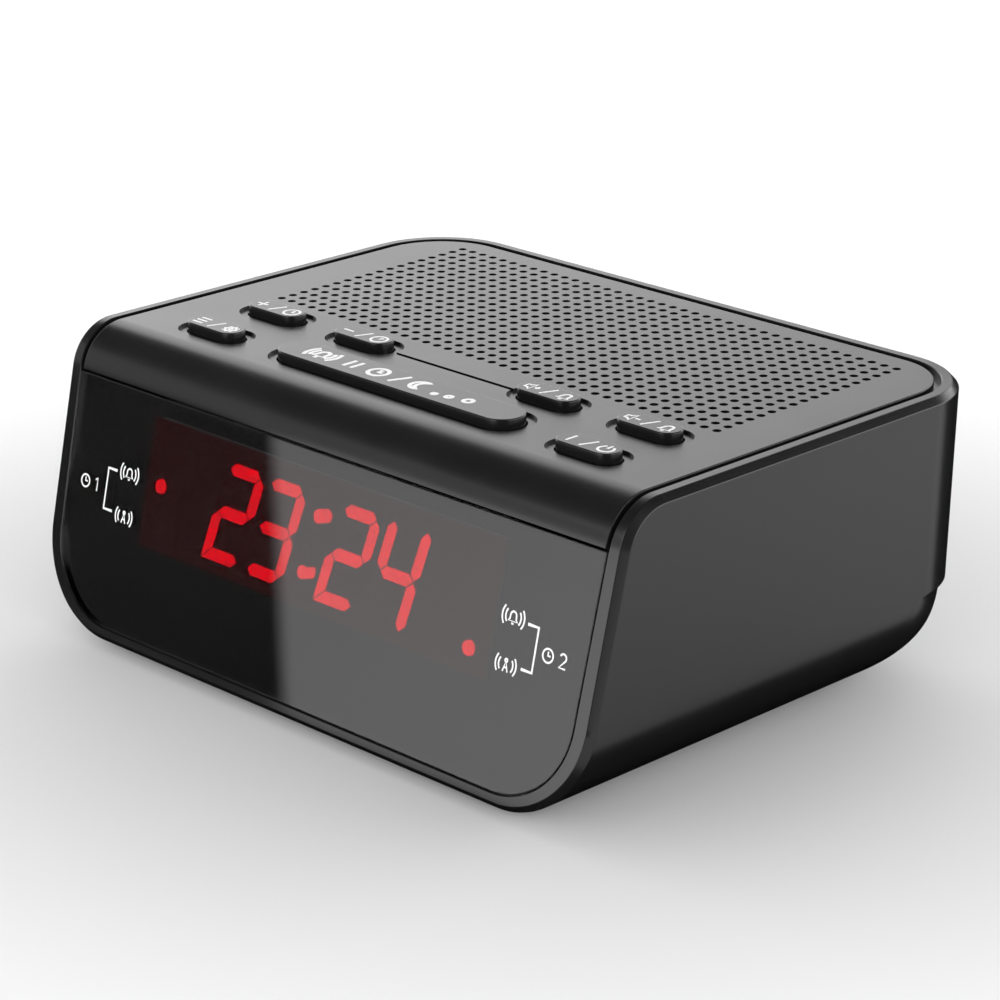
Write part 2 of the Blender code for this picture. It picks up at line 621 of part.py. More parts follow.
def build_speaker():
    centre = Matrix.Translation((0, SPEAKER_Y, SPEAKER_TOP))
    radius = SPEAKER_RADIUS
    basket = [
        (radius, 0.0),
        (radius, -1.0 * MM),
        (radius - 2.5 * MM, -1.0 * MM),
        (12.5 * MM, -8.4 * MM),
        (9.6 * MM, -8.4 * MM),
        (9.6 * MM, -7.6 * MM),
        (12.0 * MM, -7.6 * MM),
        (radius - 3.4 * MM, 0.0),
    ]
    frame = turned("speaker_frame", basket, "steel", centre, steps=24)
    for x, side in zip(SPEAKER_POSTS, ("left", "right")):
        inner, outer = sorted((math.copysign(radius - 1 * MM, x), x + math.copysign(3 * MM, x)))
        ear = ((inner, -3 * MM, -1.0 * MM), (outer, 3 * MM, 0.0))
        join(frame, box(f"frame_ear_{side}", *ear, turn=centre))
        cut(frame, rod(f"ear_hole_{side}", (x, SPEAKER_Y, 40 * MM), (x, SPEAKER_Y, TOP), 1.2 * MM, sides=12))
        seat = (x, SPEAKER_Y, SPEAKER_TOP - 1.0 * MM - GAP)
        screw(f"speaker_screw_{side}", seat, 0.85 * MM, 1.9 * MM, 1.2 * MM, 4.6 * MM)
    cone = [
        (0.0, -3.2 * MM),
        (4.6 * MM, -4.4 * MM),
        (5.2 * MM, -5.4 * MM),
        (20.9 * MM, 0.2 * MM),
        (20.9 * MM, -0.3 * MM),
        (5.2 * MM, -6.2 * MM),
        (0.0, -6.2 * MM),
    ]
    turned("speaker_cone", cone, "speaker_paper", centre, steps=24)
    magnet = [(0.0, -8.8 * MM), (13.5 * MM, -8.8 * MM), (13.5 * MM, -15.6 * MM), (0.0, -15.6 * MM)]
    turned("speaker_magnet", magnet, "ferrite", centre, steps=24)
    gasket = [(radius, 3.0 * MM), (radius, 0.3 * MM), (21.3 * MM, 0.3 * MM), (21.3 * MM, 3.0 * MM)]
    turned("speaker_gasket", gasket, "rubber", centre, steps=24)


def segment(length, thick):
    """A six-sided display segment lying across, its ends pointed."""
    reach, half = length / 2, thick / 2
    return [
        (-reach, 0.0),
        (half - reach, half),
        (reach - half, half),
        (reach, 0.0),
        (reach - half, -half),
        (half - reach, -half),
    ]


def digit_segments():
    """(centre x, centre y, upright) of the seven segments about the digit's middle."""
    across, quarter = DIGIT_WIDE / 2, DIGIT_TALL / 4
    level = [(0.0, side * 2 * quarter, False) for side in (1, 0, -1)]
    upright = [(x, y, True) for x in (-across, across) for y in (-quarter, quarter)]
    return level + upright


def build_display():
    depth = SEGMENT_DEPTH
    back = DISPLAY_BOARD_DEPTH - GAP
    for number, x in enumerate(DIGIT_X, start=1):
        half, tall = DIGIT_WIDE / 2 + 1.2 * MM, DIGIT_TALL / 2 + 1.3 * MM
        slant = math.tan(DIGIT_SLANT)
        outline = [(a * half + b * tall * slant, b * tall) for a, b in ((-1, -1), (1, -1), (1, 1), (-1, 1))]
        outline = [(x + a, b - DIGIT_MIDDLE) for a, b in outline]
        digit = plate(f"digit_{number}", outline, -back, -depth - 0.1 * MM, FACE, "led_diffuser")
        for index, (cx, cy, upright) in enumerate(digit_segments()):
            shape = segment((DIGIT_TALL / 2 if upright else DIGIT_WIDE) - SEGMENT_GAP, SEGMENT_THICK)
            if upright:
                shape = [(-b, a) for a, b in shape]
            shape = [(x + cx + a + (cy + b) * slant, cy + b - DIGIT_MIDDLE) for a, b in shape]
            join(digit, plate(f"segment_{number}_{index}", shape, -depth - 1.0 * MM, -depth, FACE))
    slant = math.tan(DIGIT_SLANT)
    middle = -0.85 * MM
    dots = [(middle + side * 5.0 * MM * slant, side * 5.0 * MM - DIGIT_MIDDLE) for side in (1, -1)]
    spine = [(a + side * 0.5 * MM, b) for side, (a, b) in zip((1, 1), dots)]
    spine += [(a - 0.5 * MM, b) for a, b in reversed(dots)]
    colon = plate("colon_guide", spine, -back, -depth - 0.1 * MM, FACE, "led_diffuser")
    for index, dot in enumerate(dots):
        spot = arc(dot, 1.2 * MM, 0, 337.5, 15)
        join(colon, plate(f"colon_dot_{index}", spot, -depth - 2.0 * MM, -depth, FACE))
    for side, (x, down) in ALARM_DOTS.items():
        spot = arc((x, -down), DOT_RADIUS, 0, 337.5, 15)
        plate(f"alarm_dot_{side}", spot, -back, -depth, FACE, "led_diffuser")

    board = [(-46 * MM, -9.5 * MM), (46 * MM, -9.5 * MM), (46 * MM, -36.5 * MM), (-46 * MM, -36.5 * MM)]
    board = plate("display_board", board, -DISPLAY_BOARD_DEPTH - 1.6 * MM, -DISPLAY_BOARD_DEPTH, FACE, "board_laminate")
    for i, (x, down) in enumerate(DISPLAY_POSTS):
        hole = arc((x, -down), 1.1 * MM, 0, 330, 11)
        cut(board, plate(f"display_hole_{i}", hole, -20 * MM, 0.0, FACE))
    housing = plate("display_housing", window_outline(-0.2 * MM), -back, -depth - 0.1 * MM, FACE, "black_nylon")
    reach = 34.0 * MM
    well = [(-reach, -13.6 * MM), (reach, -13.6 * MM), (reach, -33.2 * MM), (-reach, -33.2 * MM)]
    cut(housing, plate("digit_well", well, -20 * MM, 0.0, FACE))
    for side, (x, down) in ALARM_DOTS.items():
        spot = arc((x, -down), DOT_RADIUS + GAP, 0, 330, 11)
        cut(housing, plate(f"dot_well_{side}", spot, -20 * MM, 0.0, FACE))


def build_cells():
    z = FLOOR + 2.5 * MM + CELL_RADIUS + 0.4 * MM
    reach = CELL_LONG / 2
    profile = [
        (0.0, reach + 0.5 * MM),
        (1.8 * MM, reach + 0.5 * MM),
        (1.8 * MM, reach - 0.4 * MM),
        (CELL_RADIUS, reach - 0.4 * MM),
        (CELL_RADIUS, -reach),
        (0.0, -reach),
    ]
    face = BAY_HALF - 0.7 * MM
    contacts = {}
    for side, sign in (("left", -1), ("right", 1)):
        low, high = sorted((sign * face, sign * (face + 0.4 * MM)))
        strip = (low, BAY_FRONT + 1 * MM, z - 4.2 * MM), (high, BAY_BACK - 1 * MM, z + 4.2 * MM)
        tab = (low, 18.5 * MM, z), (high, 21.5 * MM, MAIN_BOARD_TOP - 1.9 * MM)
        contact = box(f"cell_contact_{side}", *strip, "nickel")
        contacts[side] = join(contact, box(f"contact_tab_{side}", *tab))
    for index, (y, sign) in enumerate(zip(CELL_Y, (1, -1)), start=1):
        turn = Matrix.Rotation(sign * math.pi / 2, 4, "Y")
        centre = sign * (face - GAP - reach - 0.5 * MM)
        turned(f"cell_{index}", profile, "cell_sleeve", Matrix.Translation((centre, y, z)) @ turn, steps=20)
        start = -sign * (face + 0.15 * MM)
        turns, each = 3, 12
        coil = []
        for k in range(turns * each + 1):
            t = k / (turns * each)
            angle, radius = 2 * math.pi * turns * t, (3.4 - 1.0 * t) * MM
            x = start + sign * (face - GAP - (reach - abs(centre)) - 0.3 * MM) * t
            coil.append((x, y + radius * math.cos(angle), z + radius * math.sin(angle)))
        spring = meshed(tube(f"cell_spring_{index}", coil, 0.25 * MM, "nickel", resolution=1))
        join(contacts["left" if sign > 0 else "right"], spring)


def meshed(curve):
    """A curve object as a hidden mesh cutter with its caps welded on."""
    bpy.context.view_layer.update()
    graph = bpy.context.evaluated_depsgraph_get()
    mesh = bpy.data.meshes.new_from_object(curve.evaluated_get(graph))
    name = curve.name
    bpy.data.objects.remove(curve)
    bm = bmesh.new()
    bm.from_mesh(mesh)
    bpy.data.meshes.remove(mesh)
    bmesh.ops.remove_doubles(bm, verts=bm.verts, dist=1e-6)
    return from_bmesh(name, bm)


def build_battery_door():
    low, high = FLOOR, FLOOR + DOOR_THICK
    door = box("battery_door", (-DOOR_HALF, DOOR_FRONT, low), (DOOR_HALF, 60 * MM, high), "case_plastic")
    tongue = DOOR_HALF + 1.2 * MM
    join(door, box("door_tongue", (-tongue, DOOR_FRONT, low + 1.1 * MM), (tongue, 60 * MM, high)))
    keep_within(door, case_loft("door_form", 0.0, TOP))
    for i in range(5):
        y = (30 + 1.8 * i) * MM
        cut(door, box(f"grip_{i}", (-8 * MM, y, low - 1 * MM), (8 * MM, y + 0.9 * MM, low + 0.5 * MM)))
    move_origin(door, (0, DOOR_FRONT, FLOOR))


def build_inlets():
    x, z = JACK
    jack = box("dc_jack", (x - 5.2 * MM, 34.6 * MM, z - 5.2 * MM), (x + 5.2 * MM, REAR - 3.4 * MM, z + 5.2 * MM), "black_nylon")
    join(jack, rod("jack_nose", (x, 44 * MM, z), (x, REAR - 0.9 * MM, z), 4.0 * MM))
    socket = plate(
        "jack_socket",
        arc((x, z), 2.9 * MM, 0, 345, 23),
        38 * MM,
        60 * MM,
        "Y",
        holes=[arc((x, z), 1.0 * MM, 0, 330, 11)],
    )
    cut(jack, socket)
    x, z = AERIAL
    collar = [
        (2.5 * MM, -0.3 * MM),
        (2.5 * MM, -2.6 * MM),
        (4.0 * MM, -2.6 * MM),
        (4.0 * MM, -3.8 * MM),
        (1.0 * MM, -3.8 * MM),
        (1.0 * MM, -0.3 * MM),
    ]
    out = Matrix.Translation((x, rear_edge(z), z)) @ Matrix.Rotation(-math.pi / 2, 4, "X")
    turned("aerial_grommet", collar, "rubber", out, steps=24)


def build_main_board():
    top, low = MAIN_BOARD_TOP, MAIN_BOARD_TOP - 1.6 * MM
    board = box("main_board", (-56 * MM, -31 * MM, low), (56 * MM, 30 * MM, top), "board_laminate")
    for i, x in enumerate(BOARD_POSTS):
        cut(board, rod(f"main_hole_{i}", (x, -2 * MM, 0), (x, -2 * MM, TOP), 1.2 * MM, sides=12))
    notch_corners(board)
    box("radio_chip", (-24 * MM, -13 * MM, top + GAP), (-12 * MM, -1 * MM, top + 2.2 * MM), "black_nylon")
    y, z = -20 * MM, top + 7 * MM
    rod("ferrite_rod", (-30 * MM, y, z), (30 * MM, y, z), 4.0 * MM, "ferrite")
    winding = [(5.2 * MM, 9 * MM), (5.2 * MM, -9 * MM), (4.3 * MM, -9 * MM), (4.3 * MM, 9 * MM)]
    along = Matrix.Translation((0, y, z)) @ Matrix.Rotation(math.pi / 2, 4, "Y")
    turned("aerial_coil", winding, "copper_wire", along, steps=24)
    base = (-22 * MM, y - 2.5 * MM, top + GAP), (22 * MM, y + 2.5 * MM, top + 1.3 * MM)
    saddle = box("ferrite_saddle", *base, "black_nylon")
    for side, x in (("left", -20 * MM), ("right", 20 * MM)):
        foot = (x - 2 * MM, y - 5.6 * MM, top + GAP), (x + 2 * MM, y + 5.6 * MM, z)
        join(saddle, box(f"saddle_{side}", *foot))
    cut(saddle, rod("saddle_seat", (-30 * MM, y, z), (30 * MM, y, z), 4.3 * MM))


def build_leads():
    top = MAIN_BOARD_TOP
    speaker = [
        (14.2 * MM, SPEAKER_Y, 36.0 * MM),
        (17.5 * MM, SPEAKER_Y - 3 * MM, 34.5 * MM),
        (21 * MM, SPEAKER_Y - 8 * MM, 29 * MM),
        (22 * MM, SPEAKER_Y - 12 * MM, top + 1.2 * MM),
    ]
    wire("speaker_lead", speaker, 0.8 * MM, "lead_sleeve", samples=6)
    x, z = AERIAL
    aerial = [
        (x, rear_edge(z) - 5.0 * MM, z),
        (x, rear_edge(z) - 10.0 * MM, z - 0.6 * MM),
        (x + 3 * MM, 33 * MM, 27 * MM),
        (x + 4 * MM, 25 * MM, top + 1.2 * MM),
    ]
    wire("aerial_lead", aerial, 0.7 * MM, "lead_sleeve", samples=6)
    display = [(-30.7 * MM, 30 * MM), (-29.4 * MM, 30.8 * MM), (-28.2 * MM, 29 * MM), (-28 * MM, top + GAP)]
    flat_lead("display_ribbon", display, -40 * MM, -30 * MM)
    keys = [(-7 * MM, KEY_BOARD_TOP - 2.0 * MM), (-4.5 * MM, 36 * MM), (-6.5 * MM, 29 * MM), (-6 * MM, top + GAP)]
    flat_lead("key_ribbon", keys, 40 * MM, 50 * MM)


def flat_lead(name, route, low, high):
    """A ribbon of even thickness along a route in the side plane."""
    half = 0.25 * MM
    left, right = [], []
    for i, place in enumerate(route):
        before, after = route[max(i - 1, 0)], route[min(i + 1, len(route) - 1)]
        along = (Vector(after) - Vector(before)).normalized()
        side = Vector((-along.y, along.x)) * half
        left.append(tuple(Vector(place) + side))
        right.append(tuple(Vector(place) - side))
    plate(name, left + right[::-1], low, high, "X", "ribbon")


build_case()
build_cover()
build_lens()
build_keys()
build_key_board()
build_fasteners_and_feet()
build_speaker()
build_display()
build_cells()
build_battery_door()
build_inlets()
build_main_board()
build_leads()
for part in PARTS.objects:
    if part.type == "MESH":
        part.data.shade_smooth()
        part.data.set_sharp_from_angle(angle=math.radians(35))
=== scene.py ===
"""Looks for the compact clock radio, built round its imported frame.

Metres, +Z up, the front faces -Y. Shapes are worked out from the frame's boxes and from the
driving sizes below. They repeat the solid model's, but the gap between segments is 0.02 mm
narrower here, and the sound holes, the rule line and the finest edges are only made here."""

import json
import math

import bmesh
import bpy
from mathutils import Matrix, Vector


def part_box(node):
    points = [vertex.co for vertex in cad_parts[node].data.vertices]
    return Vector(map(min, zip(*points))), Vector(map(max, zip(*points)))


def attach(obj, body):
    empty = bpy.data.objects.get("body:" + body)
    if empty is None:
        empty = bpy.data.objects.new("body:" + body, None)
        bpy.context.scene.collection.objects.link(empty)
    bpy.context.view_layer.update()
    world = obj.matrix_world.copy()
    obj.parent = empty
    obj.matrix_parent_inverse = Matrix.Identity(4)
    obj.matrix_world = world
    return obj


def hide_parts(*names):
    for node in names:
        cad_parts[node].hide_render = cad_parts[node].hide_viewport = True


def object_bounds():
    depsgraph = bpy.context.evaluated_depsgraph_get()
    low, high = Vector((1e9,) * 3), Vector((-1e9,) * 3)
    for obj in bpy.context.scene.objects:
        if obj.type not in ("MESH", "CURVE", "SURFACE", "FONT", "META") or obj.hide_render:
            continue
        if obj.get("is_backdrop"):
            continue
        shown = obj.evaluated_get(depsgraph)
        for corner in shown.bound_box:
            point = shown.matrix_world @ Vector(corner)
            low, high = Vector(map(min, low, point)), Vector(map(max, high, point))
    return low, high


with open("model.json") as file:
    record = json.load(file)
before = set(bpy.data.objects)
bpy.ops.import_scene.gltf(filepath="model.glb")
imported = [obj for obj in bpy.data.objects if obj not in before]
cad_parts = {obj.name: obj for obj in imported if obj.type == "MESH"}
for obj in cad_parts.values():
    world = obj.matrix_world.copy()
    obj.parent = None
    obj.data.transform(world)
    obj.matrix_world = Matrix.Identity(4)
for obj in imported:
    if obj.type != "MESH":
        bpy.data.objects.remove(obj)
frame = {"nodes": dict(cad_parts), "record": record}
CAD_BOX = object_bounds()

MM = 0.001

# ---------------------------------------------------------------------------- driving sizes

TUB_LOW, TUB_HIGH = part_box("case_tub")
FLOOR, TOP = TUB_LOW.z, TUB_HIGH.z
HALF_WIDTH = 67.7 * MM
REAR = 51.53 * MM
FRONT_TOP = -39.48 * MM
FRONT_LEAN = math.atan(0.2301)
DRAFT = math.tan(math.radians(1.0))
BROW_RADIUS = 9.2 * MM
PLAN_RADIUS = 17.3 * MM
SIDE_RADIUS = 17.5 * MM
HEEL_RADIUS = 11.0 * MM
STEP_TOP, STEP_FOOT, STEP_DEPTH = FLOOR + SIDE_RADIUS, 18.2 * MM, 1.7 * MM
RIM_CHAMFER, RIM_SOFT = 1.2 * MM, 0.2 * MM
WALL, FRONT_WALL = 2.2 * MM, 3.8 * MM
GAP = 0.3 * MM

PANEL_HALF, PANEL_REAR, PANEL_RADIUS = 63.5 * MM, 47.3 * MM, 13.2 * MM
GROOVE, GROOVE_AT_BROW = 1.25 * MM, 0.7 * MM
LEDGE, LEDGE_DROP = 2.0 * MM, 1.3 * MM
LIP, PLATE = 1.0 * MM, 2.0 * MM
BROW_DROP = 7.7 * MM
EDGE = 0.15 * MM

HOLE_PITCH, HOLE_RADIUS = 2.7 * MM, 0.76 * MM
HOLES_ACROSS, HOLES_BACK = 40, 18
FIRST_ROW = -3.66 * MM

LENS_FOOT, LENS_HALF, LENS_RADIUS = 50.95 * MM, 64.0 * MM, 15.1 * MM
LENS_THICK, LENS_SEAT = 1.7 * MM, 2.0 * MM
WINDOW_HALF, WINDOW_TOP, WINDOW_FOOT = 43.0 * MM, 11.5 * MM, 34.4 * MM
WINDOW_SKIN, FILM, FILM_GAP = 0.6 * MM, 0.3 * MM, 0.15 * MM
SEGMENT_DEPTH = WINDOW_SKIN + FILM + 2 * FILM_GAP

SMALL_KEY = (12.75 * MM, 5.1 * MM)
REAR_ROW, FRONT_ROW = -11.35 * MM, -25.6 * MM
KEYS = {
    "mode": (-45.1 * MM, FRONT_ROW, *SMALL_KEY),
    "hour": (-45.1 * MM, REAR_ROW, *SMALL_KEY),
    "minute": (-22.4 * MM, REAR_ROW, *SMALL_KEY),
    "snooze": (0.0, -24.3 * MM, 56.8 * MM, 7.9 * MM),
    "volume_up": (22.4 * MM, REAR_ROW, *SMALL_KEY),
    "volume_down": (45.1 * MM, REAR_ROW, *SMALL_KEY),
    "power": (45.1 * MM, FRONT_ROW, *SMALL_KEY),
}
KEY_RISE, KEY_RING, KEY_SINK = 1.4 * MM, 1.8 * MM, 0.55 * MM
KEY_EDGE, PRINT_HEIGHT = 0.25 * MM, 0.02 * MM
KEY_TOP = TOP + KEY_RISE - PRINT_HEIGHT  # leaves room for the print inside the CAD box
RULE_Y, RULE_WIDE, RULE_DEEP = -11.8 * MM, 0.9 * MM, 0.5 * MM
KEY_BOARD_TOP = 44.6 * MM

DIGIT_X = [-20.3 * MM, -9.8 * MM, 8.25 * MM, 19.9 * MM]
DIGIT_TALL, DIGIT_WIDE, DIGIT_SLANT = 15.4 * MM, 7.85 * MM, math.tan(math.radians(10.5))
DIGIT_MIDDLE = 23.5 * MM
SEGMENT_THICK, SEGMENT_GAP, SEGMENT_SOFT = 2.2 * MM, 0.34 * MM, 0.04 * MM
COLON_X, COLON_RADIUS = -0.85 * MM, 1.2 * MM
ALARM_DOTS = {"left": (-39.7 * MM, 23.2 * MM), "right": (37.9 * MM, 30.45 * MM)}
DOT_RADIUS = 1.25 * MM
DISPLAY_BOARD_DEPTH = 11.4 * MM

SPEAKER_Y = 19.3 * MM
SPEAKER_POSTS = (-28.5 * MM, 28.5 * MM)
SPEAKER_TOP = TOP - PLATE - 3.3 * MM
KEY_POSTS = [(x, -18.5 * MM) for x in (-56 * MM, -33.5 * MM, 33.5 * MM, 56 * MM)]
MAIN_BOARD_TOP = 22.0 * MM
CASE_BOSSES = [(-55 * MM, -33 * MM), (55 * MM, -33 * MM), (-47 * MM, 36 * MM), (47 * MM, 36 * MM)]
BOSS_SPLIT = 12.0 * MM
BOARD_POSTS = (-44 * MM, 44 * MM)
DISPLAY_POSTS = [(x, down) for x in (-44.8 * MM, 44.8 * MM) for down in (13 * MM, 33 * MM)]
JACK, AERIAL = (-34 * MM, 30 * MM), (34 * MM, 30 * MM)
BAY_HALF, BAY_FRONT, BAY_BACK, BAY_TOP = 26.5 * MM, 8.2 * MM, 31.8 * MM, 15.2 * MM
DOOR_HALF, DOOR_FRONT, DOOR_THICK = 27.0 * MM, 4.0 * MM, 1.8 * MM
FEET = ("foot_front_left", "foot_front_right", "foot_rear_left", "foot_rear_right")

# ---------------------------------------------------------------------------- outlines


def arc(centre, radius, start, stop, steps):
    """Points on an arc, in degrees, both ends included."""
    turns = [math.radians(start + (stop - start) * i / steps) for i in range(steps + 1)]
    return [(centre[0] + radius * math.cos(t), centre[1] + radius * math.sin(t)) for t in turns]


def circle(x, y, radius, sides=32):
    return arc((x, y), radius, 0, 360 - 360 / sides, sides - 1)


def stadium(x, y, length, width, grow=0.0, steps=20):
    radius, reach = width / 2 + grow, (length - width) / 2
    return arc((x + reach, y), radius, -90, 90, steps) + arc((x - reach, y), radius, 90, 270, steps)


def rounded_rear(half, rear, radius, front, steps=24):
    """A plan outline that is square in front and rounded at both rear corners."""
    right = arc((half - radius, rear - radius), radius, 0, 90, steps)
    left = arc((radius - half, rear - radius), radius, 90, 180, steps)
    return [(half, front), *right, *left, (-half, front)]


def rounded_box(low, high, radius, steps=6):
    corners = ((high[0], low[1], -90), (high[0], high[1], 0), (low[0], high[1], 90), (low[0], low[1], 180))
    points = []
    for x, y, start in corners:
        centre = (x + (radius if x == low[0] else -radius), y + (radius if y == low[1] else -radius))
        points += arc(centre, radius, start, start + 90, steps)
    return points


def rectangle(x, y, reach, half, inset=0.0):
    left, right, low, high = x - reach + inset, x + reach - inset, y - half + inset, y + half - inset
    return [(left, low), (right, low), (right, high), (left, high)]


def node_middle(node):
    """(x, y) of the middle of a CAD node."""
    low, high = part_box(node)
    return (low.x + high.x) / 2, (low.y + high.y) / 2


def lens_outline(grow=0.0, down=BROW_DROP, steps=24):
    """The lens on the face: square at the top, rounded at the foot, its sides drafted."""
    foot, radius, top_half = LENS_FOOT + grow, LENS_RADIUS + grow, LENS_HALF + grow
    low_half = top_half - DRAFT * (foot - down)
    side = foot - radius
    right = [(low_half - radius + x, -side + y) for x, y in arc((0, 0), radius, 0, -90, steps)]
    left = [(-x, y) for x, y in reversed(right)]
    return [(top_half, -down), *right, *left, (-top_half, -down)]


def window_outline(grow=0.0):
    half, top, foot = WINDOW_HALF + grow, WINDOW_TOP - grow, WINDOW_FOOT + grow
    return [(-half, -top), (half, -top), (half, -foot), (-half, -foot)]


def face_matrix():
    """The sloping face's own frame: x across, y up the face, z out of it, from the top corner."""
    up = Vector((0, math.sin(FRONT_LEAN), math.cos(FRONT_LEAN)))
    out = Vector((0, -math.cos(FRONT_LEAN), math.sin(FRONT_LEAN)))
    turn = Matrix(((1, up.x, out.x), (0, up.y, out.y), (0, up.z, out.z))).to_4x4()
    return Matrix.Translation((0, FRONT_TOP, TOP)) @ turn


FACE = face_matrix()
FLAT = Matrix.Identity(4)
ACROSS = Matrix(((0, 0, 1, 0), (1, 0, 0, 0), (0, 1, 0, 0), (0, 0, 0, 1)))
BACKWARD = Matrix(((1, 0, 0, 0), (0, 0, 1, 0), (0, 1, 0, 0), (0, 0, 0, 1)))
BROW_TURN = math.pi / 2 - FRONT_LEAN
BROW_TANGENT = BROW_RADIUS * math.tan(BROW_TURN / 2)
BROW_START = FRONT_TOP + BROW_TANGENT
BROW_STEPS = 28
SHEET_FRONT = -(BROW_RADIUS * BROW_TURN + BROW_DROP - BROW_TANGENT)


def half_width(z, inset=0.0):
    """Half the case's width at a height: drafted walls on a large bottom radius."""
    low, radius = FLOOR + inset, SIDE_RADIUS - inset
    wide = HALF_WIDTH - inset - DRAFT * (TOP - z)
    rise = low + radius - z
    if rise > 0:
        wide -= radius - math.sqrt(max(radius**2 - rise**2, 0.0))
    return wide


def rear_edge(z, inset=0.0):
    """The rear wall's y at a height: drafted, stepped in low down, with a rounded heel."""
    low, radius = FLOOR + inset, HEEL_RADIUS - inset / 2
    share = min(max((STEP_TOP - z) / (STEP_TOP - STEP_FOOT), 0.0), 1.0)
    edge = REAR - inset - DRAFT * (TOP - z) - STEP_DEPTH * share * share * (3 - 2 * share)
    rise = low + radius - z
    if rise > 0:
        edge -= radius - math.sqrt(max(radius**2 - rise**2, 0.0))
    return edge


def face_point(down, depth=0.0):
    """(y, z) of a place on the sloping front: down it from the sharp top corner, and in from it."""
    along = Vector((-math.sin(FRONT_LEAN), -math.cos(FRONT_LEAN)))
    inward = Vector((math.cos(FRONT_LEAN), -math.sin(FRONT_LEAN)))
    return Vector((FRONT_TOP, TOP)) + along * down + inward * depth


def brow_profile(depth, steps=BROW_STEPS):
    """(y, z) from the front face up round the brow to the top, at a depth under the surface."""
    centre = (BROW_START, TOP - BROW_RADIUS)
    return arc(centre, BROW_RADIUS - depth, 180 - math.degrees(FRONT_LEAN), 90, steps)


# ---------------------------------------------------------------------------- mesh tools


def new_object(name, mesh):
    obj = bpy.data.objects.new(name, mesh)
    bpy.context.scene.collection.objects.link(obj)
    return obj


def from_bmesh(name, bm):
    bmesh.ops.remove_doubles(bm, verts=bm.verts, dist=1e-7)
    bmesh.ops.recalc_face_normals(bm, faces=bm.faces[:])
    mesh = bpy.data.meshes.new(name)
    bm.to_mesh(mesh)
    bm.free()
    return new_object(name, mesh)


def loft(name, loops, matrix=FLAT, closed=True):
    """A skin over equal loops of points, one above the other, its ends filled."""
    bm = bmesh.new()
    rings = [[bm.verts.new(matrix @ Vector(p)) for p in loop] for loop in loops]
    for lower, upper in zip(rings, rings[1:]):
        for i, corner in enumerate(lower):
            j = (i + 1) % len(lower)
            bm.faces.new((corner, lower[j], upper[j], upper[i]))
    if closed:
        bm.faces.new(rings[-1])
        bm.faces.new(list(reversed(rings[0])))
    return from_bmesh(name, bm)


def stack(name, outline, levels, matrix=FLAT):
    """A solid whose outline is a function of the inset, through levels of (inset, height)."""
    loops = [[(a, b, height) for a, b in outline(inset)] for inset, height in levels]
    return loft(name, loops, matrix)


def plate(name, outline, low, high, matrix=FLAT):
    return stack(name, lambda inset: outline, [(0, low), (0, high)], matrix)


def box(name, low, high):
    corners = [(low[0], low[1]), (high[0], low[1]), (high[0], high[1]), (low[0], high[1])]
    return plate(name, corners, low[2], high[2])


def rod(name, x, y, low, high, radius, sides=32):
    return plate(name, circle(x, y, radius, sides), low, high)


def soft_levels(low, high, radius, steps=4, both=False):
    """Levels of (inset, height) for a wall with a rounded upper edge, and a lower one if both."""
    turn = [math.radians(90 * i / steps) for i in range(steps + 1)]
    upper = [(radius * (1 - math.cos(t)), high - radius * (1 - math.sin(t))) for t in turn]
    if not both:
        return [(0.0, low), *upper]
    lower = [(radius * (1 - math.sin(t)), low + radius * (1 - math.cos(t))) for t in turn]
    return [*lower, *upper]


def spun(name, profile, matrix=FLAT, steps=48):
    """A solid turned about Z from a closed profile of (radius, height)."""
    bm = bmesh.new()
    rings = []
    for i in range(steps):
        turn = 2 * math.pi * i / steps
        c, s = math.cos(turn), math.sin(turn)
        rings.append([bm.verts.new(matrix @ Vector((r * c, r * s, z))) for r, z in profile])
    for here, there in zip(rings, rings[1:] + rings[:1]):
        for i in range(len(profile)):
            j = (i + 1) % len(profile)
            if profile[i][0] > 0 or profile[j][0] > 0:
                bm.faces.new((here[i], here[j], there[j], there[i]))
    bmesh.ops.remove_doubles(bm, verts=bm.verts, dist=1e-7)
    bmesh.ops.dissolve_degenerate(bm, edges=bm.edges, dist=1e-7)
    return from_bmesh(name, bm)


def curve_mesh(name, curve):
    guide = new_object(name + "_curve", curve)
    graph = bpy.context.evaluated_depsgraph_get()
    mesh = bpy.data.meshes.new_from_object(guide.evaluated_get(graph))
    bpy.data.objects.remove(guide)
    bpy.data.curves.remove(curve)
    return new_object(name, mesh)


def flared(depth):
    """Levels of a pocket cut to a depth, with a softened mouth."""
    return [(0.0, -depth), (0.0, -EDGE), (-2 * EDGE, EDGE), (-2 * EDGE, 3 * MM)]


def apply(obj):
    """Makes the object's modifiers part of its mesh."""
    graph = bpy.context.evaluated_depsgraph_get()
    mesh = bpy.data.meshes.new_from_object(obj.evaluated_get(graph))
    obj.modifiers.clear()
    old, obj.data = obj.data, mesh
    bpy.data.meshes.remove(old)
    return obj


def carve(obj, operation, *tools):
    """Joins, cuts or intersects the object with tools, and removes them."""
    for tool in tools:
        modifier = obj.modifiers.new(operation.lower(), "BOOLEAN")
        modifier.operation = operation
        modifier.object = tool
        modifier.material_mode = "TRANSFER"
    apply(obj)
    for tool in tools:
        bpy.data.objects.remove(tool)
    return obj


def cut(obj, *tools):
    return carve(obj, "DIFFERENCE", *tools)


def join(obj, *tools):
    return carve(obj, "UNION", *tools)


def gather(name, objects):
    """Several meshes that don't touch, as one object."""
    bm = bmesh.new()
    for obj in objects:
        bm.from_mesh(obj.data)
        bpy.data.objects.remove(obj)
    mesh = bpy.data.meshes.new(name)
    bm.to_mesh(mesh)
    bm.free()
    return new_object(name, mesh)


